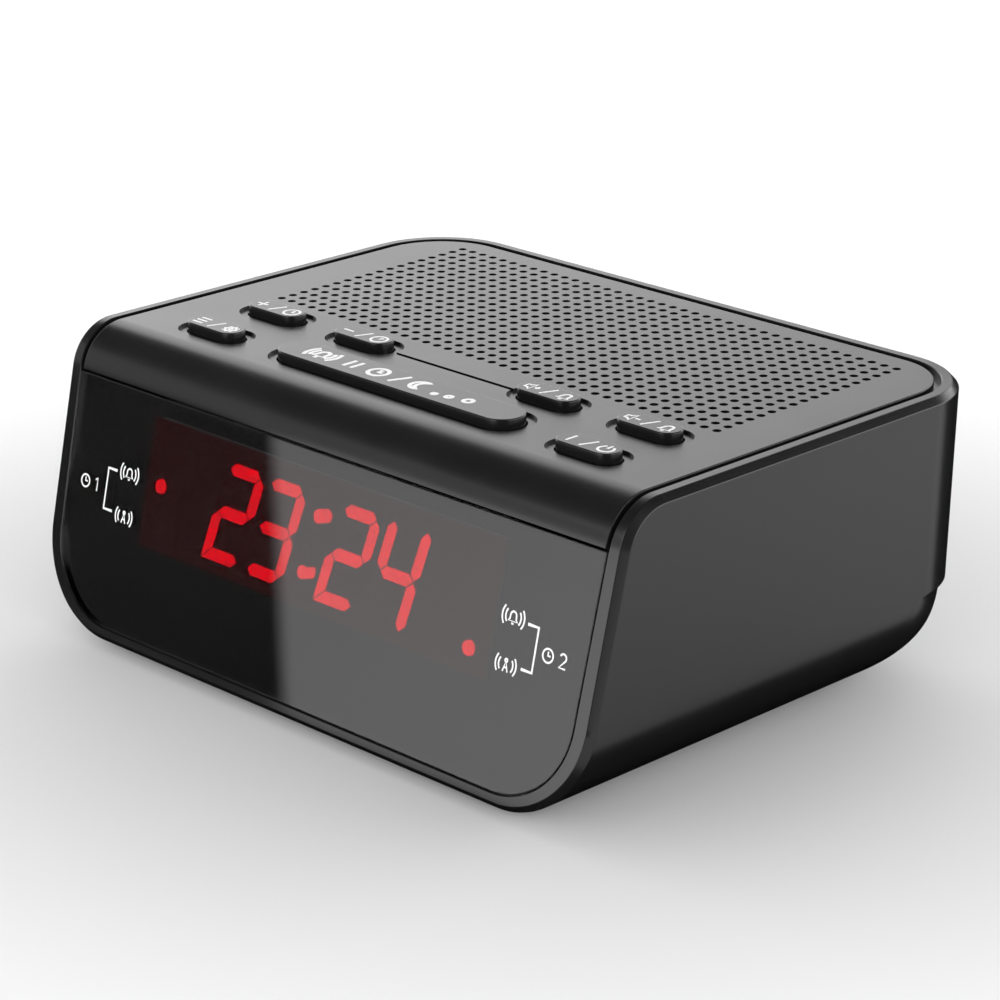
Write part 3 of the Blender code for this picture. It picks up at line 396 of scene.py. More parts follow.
def soften(obj, width, angle=30, segments=2):
    bevel = obj.modifiers.new("soft_edges", "BEVEL")
    bevel.width = width
    bevel.segments = segments
    bevel.limit_method = "ANGLE"
    bevel.angle_limit = math.radians(angle)
    return apply(obj)


def shade(obj, angle=32):
    """Smooth shading that keeps flat faces flat and sharp edges sharp."""
    obj.data.shade_smooth()
    obj.data.set_sharp_from_angle(angle=math.radians(angle))
    weighted = obj.modifiers.new("weighted_normals", "WEIGHTED_NORMAL")
    weighted.keep_sharp = True
    weighted.mode = "FACE_AREA"
    return obj


def piece(obj, body, material, slot, *nodes, angle=32):
    """Finishes a mesh as a visible piece that rides on a body and stands for CAD nodes."""
    if material:
        obj.data.materials.clear()
        obj.data.materials.append(material)
    shade(obj, angle)
    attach(obj, body)
    if nodes:
        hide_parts(*nodes)
    return obj


# ---------------------------------------------------------------------------- materials


def dial(node, **values):
    """Sets a node's inputs, named with underscores for spaces."""
    for key, value in values.items():
        node.inputs[key.replace("_", " ")].default_value = value
    return node


class Nodes:
    """A material's node tree, with short calls for the nodes used here."""

    def __init__(self, name):
        self.material = bpy.data.materials.new(name)
        self.material.use_nodes = True
        self.tree = self.material.node_tree
        self.shader = self.tree.nodes["Principled BSDF"]
        self.place = self.add("ShaderNodeTexCoord").outputs["Object"]

    def add(self, kind, **settings):
        node = self.tree.nodes.new(kind)
        for key, value in settings.items():
            setattr(node, key, value)
        return node

    def wire(self, source, target):
        self.tree.links.new(source, target)

    def noise(self, scale, detail=3.0, roughness=0.5):
        node = dial(self.add("ShaderNodeTexNoise"), Scale=scale, Detail=detail, Roughness=roughness)
        self.wire(self.place, node.inputs["Vector"])
        return node.outputs["Fac"]

    def spread(self, source, low, high, start=0.3, stop=0.7):
        """A value between two limits that follows a source."""
        node = dial(self.add("ShaderNodeMapRange"), From_Min=start, From_Max=stop, To_Min=low, To_Max=high)
        self.wire(source, node.inputs["Value"])
        return node.outputs["Result"]

    def blend(self, source, first, second):
        """A colour between two that follows a source."""
        node = self.add("ShaderNodeMix", data_type="RGBA")
        self.wire(source, node.inputs["Factor"])
        for socket in node.inputs:
            if socket.type == "RGBA":
                colour = first if socket.identifier.startswith("A") else second
                socket.default_value = (*colour, 1.0)
        return next(socket for socket in node.outputs if socket.type == "RGBA")

    def bump(self, source, distance, after=None):
        node = dial(self.add("ShaderNodeBump"), Distance=distance)
        self.wire(source, node.inputs["Height"])
        if after:
            self.wire(after, node.inputs["Normal"])
        return node.outputs["Normal"]

    def axes(self):
        node = self.add("ShaderNodeSeparateXYZ")
        self.wire(self.place, node.inputs[0])
        return node.outputs

    def maths(self, operation, *values):
        """The result of a maths node on sockets and plain numbers."""
        node = self.add("ShaderNodeMath", operation=operation)
        for value, socket in zip(values, node.inputs):
            if isinstance(value, float):
                socket.default_value = value
            else:
                self.wire(value, socket)
        return node.outputs[0]

    def set(self, **sockets):
        dial(self.shader, **sockets)

    def drive(self, **sockets):
        for key, value in sockets.items():
            self.wire(value, self.shader.inputs[key.replace("_", " ")])


def tinted(colour, factor):
    return tuple(min(c * factor, 1.0) for c in colour)


def moulded(name, colour, roughness, grain=0.28 * MM, depth=0.0016 * MM, mottle=0.12, ior=1.5):
    """Moulded plastic: a fine sparked grain, slow changes of gloss and a little colour drift."""
    n = Nodes(name)
    n.set(IOR=ior)
    fine = n.noise(1 / grain, 2.0, 0.6)
    drift = n.noise(55.0, 4.0)
    n.drive(
        Base_Color=n.blend(drift, tinted(colour, 1 - mottle), tinted(colour, 1 + mottle)),
        Roughness=n.spread(drift, roughness - 0.02, roughness + 0.02),
        Normal=n.bump(fine, depth, after=n.bump(n.noise(700.0, 3.0), depth * 2)),
    )
    return n.material


def metal(name, colour, roughness, scratch=0.0012 * MM):
    """Plated or drawn metal with fine handling scratches and patchy gloss."""
    n = Nodes(name)
    n.set(Metallic=1.0)
    patch = n.noise(160.0, 5.0, 0.65)
    wave = n.add("ShaderNodeTexWave", wave_type="BANDS", bands_direction="DIAGONAL")
    dial(wave, Scale=420.0, Distortion=9.0, Detail=3.0, Detail_Scale=2.5)
    n.wire(n.place, wave.inputs["Vector"])
    n.drive(
        Base_Color=n.blend(patch, tinted(colour, 0.85), tinted(colour, 1.1)),
        Roughness=n.spread(patch, roughness - 0.06, roughness + 0.1),
        Normal=n.bump(wave.outputs["Fac"], scratch),
    )
    return n.material


def lens_acrylic():
    """Smoked acrylic, polished, with the faintest moulding waviness."""
    n = Nodes("lens_acrylic")
    n.set(IOR=1.49, Transmission_Weight=1.0)
    n.drive(
        Base_Color=n.blend(n.noise(30.0), (0.15, 0.145, 0.145), (0.17, 0.165, 0.165)),
        Roughness=n.spread(n.noise(90.0, 4.0), 0.0, 0.015),
        Normal=n.bump(n.noise(45.0, 1.0), 0.0004 * MM),
    )
    return n.material


def red_film():
    """Dark red filter film, a little cloudy, with a painted glow: a faint even red emission of its own that
    stands in for stray light from the display.
    """
    n = Nodes("red_filter")
    n.set(IOR=1.45, Transmission_Weight=0.92)
    # painted glow: the film itself emits faint red light, standing in for the display's stray light
    n.set(Emission_Color=(1.0, 0.02, 0.02, 1.0), Emission_Strength=0.03)
    n.drive(
        Base_Color=n.blend(n.noise(120.0, 4.0), (0.66, 0.05, 0.06), (0.72, 0.06, 0.07)),
        Roughness=n.spread(n.noise(300.0), 0.0, 0.02),
        Normal=n.bump(n.noise(400.0), 0.0001 * MM),
    )
    return n.material


def glowing(name, colour, glow, strength):
    """A milky light guide, slightly cloudy, that glows where its strength is above zero."""
    n = Nodes(name)
    n.set(IOR=1.5)
    cloud = n.noise(900.0, 3.0)
    n.drive(
        Base_Color=n.blend(cloud, tinted(colour, 0.9), tinted(colour, 1.1)),
        Roughness=n.spread(cloud, 0.4, 0.55),
        Normal=n.bump(cloud, 0.002 * MM),
    )
    if strength:
        n.drive(Emission_Color=n.blend(cloud, tinted(glow, 0.92), glow))
        n.set(Emission_Strength=strength)
    return n.material


def laminate(name, mask, copper):
    """Circuit board: solder mask over copper tracks that show as raised paler lines."""
    n = Nodes(name)
    brick = n.add("ShaderNodeTexBrick", offset=0.37, squash=0.6, squash_frequency=3)
    dial(brick, Scale=260.0, Mortar_Size=0.018, Mortar_Smooth=0.2, Bias=-0.2)
    n.wire(n.place, brick.inputs["Vector"])
    drift = n.noise(500.0, 4.0)
    n.drive(
        Base_Color=n.blend(brick.outputs["Fac"], mask, copper),
        Roughness=n.spread(drift, 0.28, 0.42),
        Normal=n.bump(brick.outputs["Fac"], 0.03 * MM, after=n.bump(drift, 0.003 * MM)),
    )
    return n.material


def pulp(name, colour, grain):
    """Felted or matt stuff: cone paper, rubber and ferrite."""
    n = Nodes(name)
    fibre = n.noise(1 / grain, 6.0, 0.7)
    n.drive(
        Base_Color=n.blend(fibre, tinted(colour, 0.7), tinted(colour, 1.35)),
        Roughness=n.spread(fibre, 0.72, 0.95),
        Normal=n.bump(fibre, grain * 0.12),
    )
    return n.material


CASE = moulded("case_plastic", (0.0062, 0.0062, 0.0063), 0.25, depth=0.0011 * MM)
KEY = moulded("key_plastic", (0.006, 0.006, 0.0062), 0.25, grain=0.2 * MM, depth=0.001 * MM)
NYLON = moulded("black_nylon", (0.012, 0.012, 0.013), 0.5, grain=0.5 * MM, depth=0.004 * MM)
INK = moulded("print_white", (0.72, 0.72, 0.72), 0.5, grain=0.1 * MM, mottle=0.04)
LENS = lens_acrylic()
RED_FILM = red_film()
LIT = glowing("segment_lit", (0.5, 0.02, 0.03), (1.0, 0.0, 0.1), 7.8)
UNLIT = glowing("segment_unlit", (0.05, 0.012, 0.012), (0, 0, 0), 0)
GUIDE = moulded("light_guide_body", (0.02, 0.012, 0.012), 0.5, grain=0.4 * MM)
BOARD = laminate("board_laminate", (0.012, 0.10, 0.035), (0.05, 0.22, 0.09))
STEEL = metal("steel", (0.52, 0.52, 0.54), 0.32)
NICKEL = metal("nickel", (0.66, 0.63, 0.57), 0.24)
COPPER = metal("copper_wire", (0.62, 0.25, 0.11), 0.3, scratch=0.01 * MM)
RUBBER = pulp("rubber", (0.02, 0.02, 0.02), 0.5 * MM)
PAPER = pulp("speaker_paper", (0.022, 0.021, 0.02), 0.9 * MM)
FERRITE = pulp("ferrite", (0.035, 0.033, 0.036), 0.3 * MM)
SLEEVE = moulded("cell_sleeve", (0.03, 0.10, 0.26), 0.3, grain=0.8 * MM, mottle=0.25)
LEAD = moulded("lead_sleeve", (0.36, 0.02, 0.02), 0.4, grain=0.6 * MM, mottle=0.2)
RIBBON = moulded("ribbon", (0.40, 0.40, 0.42), 0.45, grain=0.4 * MM, mottle=0.15)

SLOT_MATERIALS = {
    "case_plastic": CASE,
    "lens_acrylic": LENS,
    "key_plastic": KEY,
    "red_filter": RED_FILM,
    "led_diffuser": UNLIT,
    "board_laminate": BOARD,
    "black_nylon": NYLON,
    "steel": STEEL,
    "nickel": NICKEL,
    "rubber": RUBBER,
    "speaker_paper": PAPER,
    "ferrite": FERRITE,
    "copper_wire": COPPER,
    "cell_sleeve": SLEEVE,
    "lead_sleeve": LEAD,
    "ribbon": RIBBON,
}

# ---------------------------------------------------------------------------- case


def case_loft(name, inset, top, corner_steps, side_steps):
    """The case's outer form, or its cavity's with an inset, as plan outlines lofted upwards."""
    low, radius = FLOOR + inset, SIDE_RADIUS - inset
    levels = [low + radius * (1 - math.cos(math.pi / 2 * i / side_steps)) for i in range(side_steps)]
    levels = [z for z in levels if z < STEP_FOOT - 0.1 * MM]
    levels += [STEP_FOOT + (STEP_TOP - STEP_FOOT) * i / 6 for i in range(7)] + [top]
    loops = []
    for z in levels:
        outline = rounded_rear(
            half_width(z, inset), rear_edge(z, inset), PLAN_RADIUS - inset, -70 * MM, corner_steps
        )
        loops.append([(x, y, z) for x, y in outline])
    return loft(name, loops)


def sheet_outline(half, rear, radius, front, brow_half=None):
    """The top's outline unrolled flat: x across, and v back from where the brow starts to turn."""
    points = rounded_rear(half, rear - BROW_START, radius, 0.0)
    brow = half if brow_half is None else brow_half
    return [(brow, front), *points, (-brow, front)]


def bent(obj):
    """Wraps a flat sheet over the top, the brow and the face. Heights stay square to the surface."""
    bm = bmesh.new()
    bm.from_mesh(obj.data)
    for i in range(BROW_STEPS + 1):
        line = -BROW_RADIUS * BROW_TURN * i / BROW_STEPS
        geom = bm.verts[:] + bm.edges[:] + bm.faces[:]
        bmesh.ops.bisect_plane(bm, geom=geom, plane_co=(0, line, 0), plane_no=(0, 1, 0), dist=1e-7)
    for vert in bm.verts:
        v, h = vert.co.y, vert.co.z
        turn = min(max(-v / BROW_RADIUS, 0.0), BROW_TURN)
        y = BROW_START - (BROW_RADIUS + h) * math.sin(turn)
        z = TOP - BROW_RADIUS + (BROW_RADIUS + h) * math.cos(turn)
        rest = -v - BROW_RADIUS * turn
        vert.co.y = y - rest * math.cos(turn)
        vert.co.z = z - rest * math.sin(turn)
    bm.to_mesh(obj.data)
    bm.free()
    return obj


def panel(name, grow, levels, brow_grow=None, extra=0.0):
    """A bent sheet shaped like the panel, grown by a distance; levels are (inset, height)."""
    side = grow if brow_grow is None else brow_grow

    def outline(inset):
        return sheet_outline(
            PANEL_HALF + grow - inset,
            PANEL_REAR + grow - inset,
            PANEL_RADIUS + grow - inset,
            SHEET_FRONT - extra,
            PANEL_HALF + side - inset,
        )

    return bent(stack(name, outline, levels))


def build_case():
    """The tub: outer form less its cavity, the panel's and the lens's seats, the bay and the bores."""
    hull = case_loft("case_shell", 0.0, TOP + 5 * MM, 30, 22)
    block = [tuple(face_point(70 * MM)), *brow_profile(0.0), (70 * MM, TOP), (70 * MM, -20 * MM)]
    carve(hull, "INTERSECT", plate("outer_form", block, -90 * MM, 90 * MM, ACROSS))
    soften(hull, RIM_CHAMFER, angle=60, segments=1)
    soften(hull, RIM_SOFT, angle=30)

    cavity = case_loft("cavity", WALL, TOP + 5 * MM, 8, 6)
    inner = [tuple(face_point(70 * MM, FRONT_WALL)), *brow_profile(FRONT_WALL, 8)]
    inner += [(70 * MM, TOP - FRONT_WALL), (70 * MM, -20 * MM)]
    carve(cavity, "INTERSECT", plate("inner_form", inner, -90 * MM, 90 * MM, ACROSS))
    solids = [box("bay_block", (-31 * MM, 2 * MM, 0), (31 * MM, 44 * MM, BAY_TOP + 1.4 * MM))]
    solids += [rod("tub_boss", x, y, 0, BOSS_SPLIT, 3.4 * MM) for x, y in CASE_BOSSES]
    low, high = MAIN_BOARD_TOP - 1.9 * MM, MAIN_BOARD_TOP + 1.0 * MM
    for x in BOARD_POSTS:
        solids.append(rod("board_post", x, -2 * MM, 0, low, 2.6 * MM))
        solids.append(rod("board_stake", x, -2 * MM, low - 1 * MM, high, 0.9 * MM, 16))
    for x, down in DISPLAY_POSTS:
        back = -DISPLAY_BOARD_DEPTH
        solids.append(plate("display_post", circle(x, -down, 1.2 * MM, 16), back + GAP, -2 * MM, FACE))
        solids.append(plate("display_stake", circle(x, -down, 0.8 * MM, 16), back - 2.4 * MM, -4 * MM, FACE))
    cut(cavity, *solids)
    cut(hull, cavity)

    pocket = panel("panel_pocket", GROOVE, flared(LEDGE_DROP), brow_grow=GROOVE_AT_BROW, extra=0.2 * MM)
    cut(hull, pocket)
    way = [(0.0, -FRONT_WALL - 1.5 * MM), (0.0, 3 * MM)]
    cut(hull, panel("panel_opening", -LEDGE, way))

    brow_end = BROW_DROP - 0.5 * MM
    seat = stack("lens_seat", lambda i: lens_outline(0.15 * MM - i, brow_end), flared(LENS_SEAT), FACE)
    window = plate("display_window", window_outline(GAP), -FRONT_WALL - 2 * MM, 0.0, FACE)
    cut(hull, seat, window)

    inside = box("bay_inside", (-BAY_HALF, BAY_FRONT, 0), (BAY_HALF, BAY_BACK, BAY_TOP))
    way, lip = DOOR_HALF + GAP, DOOR_HALF + GAP + 1.2 * MM
    channel = box("door_channel", (-way, DOOR_FRONT - GAP, -1 * MM), (way, 70 * MM, FLOOR + 2.1 * MM))
    groove = box("door_groove", (-lip, DOOR_FRONT - GAP, FLOOR + 0.8 * MM), (lip, 70 * MM, FLOOR + 2.1 * MM))
    cut(hull, inside, channel, groove)
    for x in (-BAY_HALF, BAY_HALF):
        low, high = sorted((x, x * 0.96))
        cut(hull, box("tab_slot", (low, 18 * MM, 14 * MM), (high, 22 * MM, 18 * MM)))
    bores = []
    for x, y in CASE_BOSSES:
        head = [(0.0, -1 * MM), (0.0, FLOOR), (0.35 * MM, FLOOR + 0.35 * MM), (0.35 * MM, 6.6 * MM)]
        bores.append(stack("head_bore", lambda i, x=x, y=y: circle(x, y, 3.35 * MM - i), head))
        bores.append(rod("shank_bore", x, y, 6 * MM, 14 * MM, 1.7 * MM))
    for foot in FEET:
        bores.append(rod("foot_seat", *node_middle(foot), -1 * MM, FLOOR + 0.8 * MM, 5.3 * MM, 48))
    for x, z, radius in ((*JACK, 4.3 * MM), (*AERIAL, 2.8 * MM)):
        mouth = rear_edge(z)
        levels = [(0.3 * MM, 44 * MM), (0.3 * MM, mouth - 0.3 * MM), (0.0, mouth), (0.0, 60 * MM)]
        wide = radius + 0.3 * MM
        hole = stack("rear_hole", lambda i, x=x, z=z, r=wide: circle(x, z, r - i, 48), levels, BACKWARD)
        bores.append(hole)
    cut(hull, *bores)
    piece(hull, "case", CASE, "case_plastic", "case_tub")


def build_cover():
    """The pierced panel with its posts, the keys' rings and wells, and the rule line."""
    front = -0.2 * MM
    rim = [(0.0, -LIP), *soft_levels(-LIP + 0.1 * MM, 0.0, 0.22 * MM, 3)[1:]]
    cover = panel("cover_panel", 0.0, rim, extra=front)
    inset = LEDGE + GAP
    join(cover, panel("cover_core", -inset, [(0.0, -PLATE), (0.0, -0.5 * MM)], extra=front - 0.01 * MM))
    speaker_posts = [(x, SPEAKER_Y) for x in SPEAKER_POSTS]
    kinds = (  # places, foot and radius of the posts, then foot, top and radius of their pilot holes
        (CASE_BOSSES, BOSS_SPLIT + GAP, 3.4 * MM, (BOSS_SPLIT - 1 * MM, 26 * MM, 1.4 * MM)),
        (KEY_POSTS, KEY_BOARD_TOP + GAP, 2.2 * MM, (40 * MM, KEY_BOARD_TOP + 5 * MM, 1.0 * MM)),
        (speaker_posts, SPEAKER_TOP + GAP, 2.4 * MM, (44 * MM, TOP - 1.4 * MM, 1.0 * MM)),
    )
    posts, pilots = [], []
    for places, foot, radius, pilot in kinds:
        posts += [rod("post", x, y, foot, TOP - 1 * MM, radius, 24) for x, y in places]
        pilots += [rod("pilot", x, y, *pilot, 16) for x, y in places]
    join(cover, *posts)
    cut(cover, *pilots)
    wells = []
    for name, key in KEYS.items():
        wells.append(plate("ring", stadium(*key, grow=KEY_RING), TOP - KEY_SINK, TOP + 3 * MM))
        wells.append(plate("well", stadium(*key, grow=GAP), TOP - 5 * MM, TOP + 3 * MM))
    cut(cover, *wells)
    reach = 22.4 * MM - SMALL_KEY[0] / 2 - KEY_RING + 0.4 * MM
    low = (-reach, RULE_Y - RULE_WIDE / 2, TOP - RULE_DEEP)
    high = (reach, RULE_Y + RULE_WIDE / 2, TOP + 1 * MM)
    cut(cover, box("rule_line", low, high))
    holes = []
    for row in range(HOLES_BACK):
        for column in range(HOLES_ACROSS):
            x = (column - (HOLES_ACROSS - 1) / 2) * HOLE_PITCH
            y = FIRST_ROW + row * HOLE_PITCH
            if all(abs(x - post) > 3.4 * MM or abs(y - SPEAKER_Y) > 3.4 * MM for post in SPEAKER_POSTS):
                low = TOP - 3 * MM
            else:
                low = TOP - 0.8 * MM
            holes.append(rod("hole", x, y, low, TOP + 1 * MM, HOLE_RADIUS, 16))
    cut(cover, gather("sound_holes", holes))
    piece(cover, "case", CASE, "case_plastic", "top_cover")


def build_lens():
    def outline(inset):
        return lens_outline(-inset, BROW_DROP + 0.2 * MM + inset)

    lens = stack("lens_panel", outline, soft_levels(-LENS_THICK, 0.0, 0.25 * MM, 4), FACE)
    cut(lens, plate("lens_recess", window_outline(0.15 * MM), -3 * MM, -WINDOW_SKIN, FACE))
    piece(lens, "case", LENS, "lens_acrylic", "front_lens")
    film = WINDOW_SKIN + FILM_GAP
    sheet = plate("filter_film", window_outline(), -film - FILM, -film, FACE)
    piece(sheet, "case", RED_FILM, "red_filter", "display_filter")


def build_keys():
    for name, (x, y, length, width) in KEYS.items():
        low = TOP - PLATE - GAP
        levels = soft_levels(low - 0.2 * MM, KEY_TOP, KEY_EDGE, 6)
        cap = stack("key_" + name, lambda i: stadium(x, y, length, width, -i), levels)
        flange = plate("flange", stadium(x, y, length, width, 1.1 * MM), low - 0.8 * MM, low)
        stem = rod("stem", x, y, KEY_BOARD_TOP + 4.2 * MM, low - 0.1 * MM, 1.4 * MM, 24)
        join(cap, flange, stem)
        piece(cap, "key_" + name, KEY, "key_plastic", "button_" + name)


# ---------------------------------------------------------------------------- display

GLYPHS = {
    "2": "top mid foot upper_right lower_left",
    "3": "top mid foot upper_right lower_right",
    "4": "mid upper_left upper_right lower_right",
}
SHOWN = "2324"


def segment(length, ends, inset):
    """A bar lying across. Each end is a tip, a tip that reaches out to the figure's edge, or a
    mitre that runs on into a sharp outer corner below or above the bar."""
    half = SEGMENT_THICK / 2
    outline = []
    for side, end in zip((-1, 1), ends):
        tip = length / 2 + (half if end == "long" else 0.0)
        upper, lower = (side * (tip - half), half), (side * (tip - half), -half)
        if end == "mitre_below":
            shape = [upper, (side * (tip + half), -half)]
        elif end == "mitre_above":
            shape = [(side * (tip + half), half), lower]
        else:
            shape = [upper, (side * tip, 0.0), lower]
        outline += reversed(shape) if side < 0 else shape
    return [(a * (1 - 2.6 * inset / length), b * (1 - 2 * inset / SEGMENT_THICK)) for a, b in outline]


def segment_ends(name, glyph):
    """How a lit bar's two ends look, left or foot end first."""
    lit = GLYPHS[glyph].split()
    if glyph == "2" and name == "foot":
        return ("mitre_below", "tip")
    if glyph == "2" and name == "lower_left":
        return ("mitre_above", "tip")
    if name.startswith("upper") and name in lit and "top" not in lit:
        return ("tip", "long")
    if name.startswith("lower") and name in lit and "foot" not in lit:
        return ("long", "tip")
    return ("tip", "tip")


def segment_places():
    """Name, centre and direction of the seven segments about the digit's middle."""
    across, quarter = DIGIT_WIDE / 2, DIGIT_TALL / 4
    level = {"top": 2 * quarter, "mid": 0.0, "foot": -2 * quarter}
    places = {name: (0.0, y, False) for name, y in level.items()}
    for row, y in (("upper", quarter), ("lower", -quarter)):
        places[row + "_left"] = (-across, y, True)
        places[row + "_right"] = (across, y, True)
    return places


def build_digits():
    back, front = DISPLAY_BOARD_DEPTH - GAP, SEGMENT_DEPTH
    for number, (x, glyph) in enumerate(zip(DIGIT_X, SHOWN), start=1):
        half, tall = DIGIT_WIDE / 2 + 1.2 * MM, DIGIT_TALL / 2 + 1.3 * MM
        corners = [(a + b * DIGIT_SLANT, b) for a, b in rectangle(0.0, 0.0, half, tall)]
        corners = [(x + a, b - DIGIT_MIDDLE) for a, b in corners]
        digit = plate(f"digit_block_{number}", corners, -back, -front - 0.06 * MM, FACE)
        digit.data.materials.append(GUIDE)
        bars = []
        for name, (cx, cy, upright) in segment_places().items():
            lit = name in GLYPHS[glyph].split()
            length = (DIGIT_TALL / 2 if upright else DIGIT_WIDE) - SEGMENT_GAP
            length -= 0.0 if lit else SEGMENT_THICK

            def outline(inset):
                shape = segment(length, segment_ends(name, glyph), inset)
                if upright:
                    shape = [(-b, a) for a, b in shape]
                return [(x + cx + a + (cy + b) * DIGIT_SLANT, cy + b - DIGIT_MIDDLE) for a, b in shape]

            levels = soft_levels(-front - 1.0 * MM, -front, SEGMENT_SOFT, 2)
            bar = stack("bar", outline, levels, FACE)
            bar.data.materials.append(LIT if lit else UNLIT)
            bars.append(bar)
        join(digit, *bars)
        piece(digit, "case", None, "led_diffuser", f"digit_{number}")

    dots = [(COLON_X + side * 5.0 * MM * DIGIT_SLANT, side * 5.0 * MM - DIGIT_MIDDLE) for side in (1, -1)]
    spine = [(a + 0.5 * MM, b) for a, b in dots] + [(a - 0.5 * MM, b) for a, b in reversed(dots)]
    colon = plate("colon", spine, -back, -front - 0.06 * MM, FACE)
    colon.data.materials.append(GUIDE)
    spots = []
    for a, b in dots:
        levels = soft_levels(-front - 2.0 * MM, -front, SEGMENT_SOFT, 2)
        spot = stack("spot", lambda i, a=a, b=b: circle(a, b, COLON_RADIUS - i), levels, FACE)
        spot.data.materials.append(LIT)
        spots.append(spot)
    join(colon, *spots)
    piece(colon, "case", None, "led_diffuser", "colon_guide")
    for side, (x, down) in ALARM_DOTS.items():
        levels = soft_levels(-back, -front, SEGMENT_SOFT, 2)
        dot = stack("alarm_light_" + side, lambda i, x=x, d=down: circle(x, -d, DOT_RADIUS - i), levels, FACE)
        piece(dot, "case", LIT, "led_diffuser", "alarm_dot_" + side)


# ---------------------------------------------------------------------------- printed marks


def ink(name, strokes, width, matrix, body):
    """Printed lines: round strokes pressed flat on a surface."""
    curve = bpy.data.curves.new(name, "CURVE")
    curve.dimensions = "3D"
    curve.bevel_depth = width / 2
    curve.bevel_resolution = 2
    curve.use_fill_caps = True
    for points, cyclic in strokes:
        spline = curve.splines.new("POLY")
        spline.points.add(len(points) - 1)
        for point, (a, b) in zip(spline.points, points):
            point.co = (a, b, 0.0, 1.0)
        spline.use_cyclic_u = cyclic
    obj = curve_mesh(name, curve)
    flatten = Matrix.Diagonal((1.0, 1.0, 2 * PRINT_HEIGHT / width, 1.0))
    obj.data.transform(matrix @ flatten)
    return piece(obj, body, INK, "case_plastic", angle=60)


def moved(strokes, x, y, size=1.0):
    return [([(x + a * size, y + b * size) for a, b in points], cyclic) for points, cyclic in strokes]


def line(*points):
    return [(list(points), False)]


def ring(x, y, radius, start=0, stop=360):
    whole = stop - start >= 360
    steps = max(int((stop - start) / 12), 4)
    return [(arc((x, y), radius, start, stop - (360 / steps if whole else 0), steps - whole), whole)]


def icon_clock(hand):
    return ring(0, 0, 1) + line((0, 0.62), (0, 0), hand)


def icon_bell():
    side = [(-0.85, -0.62), (-0.6, -0.35), (-0.55, 0.2)]
    dome = arc((0, 0.2), 0.55, 180, 0, 10)
    return [(side + dome + [(-x, y) for x, y in reversed(side)], True)] + line((-0.22, -0.95), (0.22, -0.95))


def icon_waves(radius=1.25):
    arcs = [(r, start) for r in (radius, radius * 1.45) for start in (-38, 142)]
    return [stroke for r, start in arcs for stroke in ring(0, 0, r, start, start + 76)]


def icon_gear():
    spokes = []
    for k in range(8):
        c, s = math.cos(k * math.pi / 4), math.sin(k * math.pi / 4)
        spokes += line((0.72 * c, 0.72 * s), (1.05 * c, 1.05 * s))
    return ring(0, 0, 0.68) + ring(0, 0, 0.22) + spokes


def icon_moon():
    outer = arc((0, 0), 1.0, 70, 290, 16)
    inner = arc((0.55, 0), 0.95, 262, 98, 12)
    return [(outer + inner, True)]


MINUS = line((-0.8, 0), (0.8, 0))
PLUS = MINUS + line((0, -0.8), (0, 0.8))
BAR = line((0, -0.9), (0, 0.9))
SLASH = line((-0.45, -1.1), (0.45, 1.1))
PAUSE = line((-0.5, -0.9), (-0.5, 0.9)) + line((0.5, -0.9), (0.5, 0.9))
ROWS = line((-0.85, 0.75), (0.85, 0.75)) + line((-0.85, 0), (0.85, 0)) + line((-0.85, -0.75), (0.85, -0.75))
MAST = line((-0.45, -1), (0, 0.5), (0.45, -1)) + ring(0, 0.6, 0.22) + line((-0.28, -0.4), (0.28, -0.4))
POWER = ring(0, -0.05, 0.9, -235, 55) + line((0, 1.05), (0, 0.1))
SPEAKER = [([(-0.9, -0.38), (-0.45, -0.38), (0.1, -0.85), (0.1, 0.85), (-0.45, 0.38), (-0.9, 0.38)], True)]
QUIETER = SPEAKER + line((0.45, 0), (1.15, 0))
LOUDER = QUIETER + line((0.8, -0.35), (0.8, 0.35))

KEY_ICONS = {
    "mode": (ROWS, icon_gear()),
    "hour": (PLUS, icon_clock((0.5, 0))),
    "minute": (MINUS, icon_clock((0.35, 0.5))),
    "volume_up": (LOUDER, icon_bell()),
    "volume_down": (QUIETER, icon_bell()),
    "power": (BAR, POWER),
}
KEY_ICON_REACH, KEY_ICON_SIZE, KEY_STROKE = 3.8 * MM, 1.5 * MM, 0.5 * MM
SNOOZE_MIDDLE, SNOOZE_ICON_SIZE, SNOOZE_STROKE = (-0.5 * MM, 0.2 * MM), 1.85 * MM, 0.8 * MM


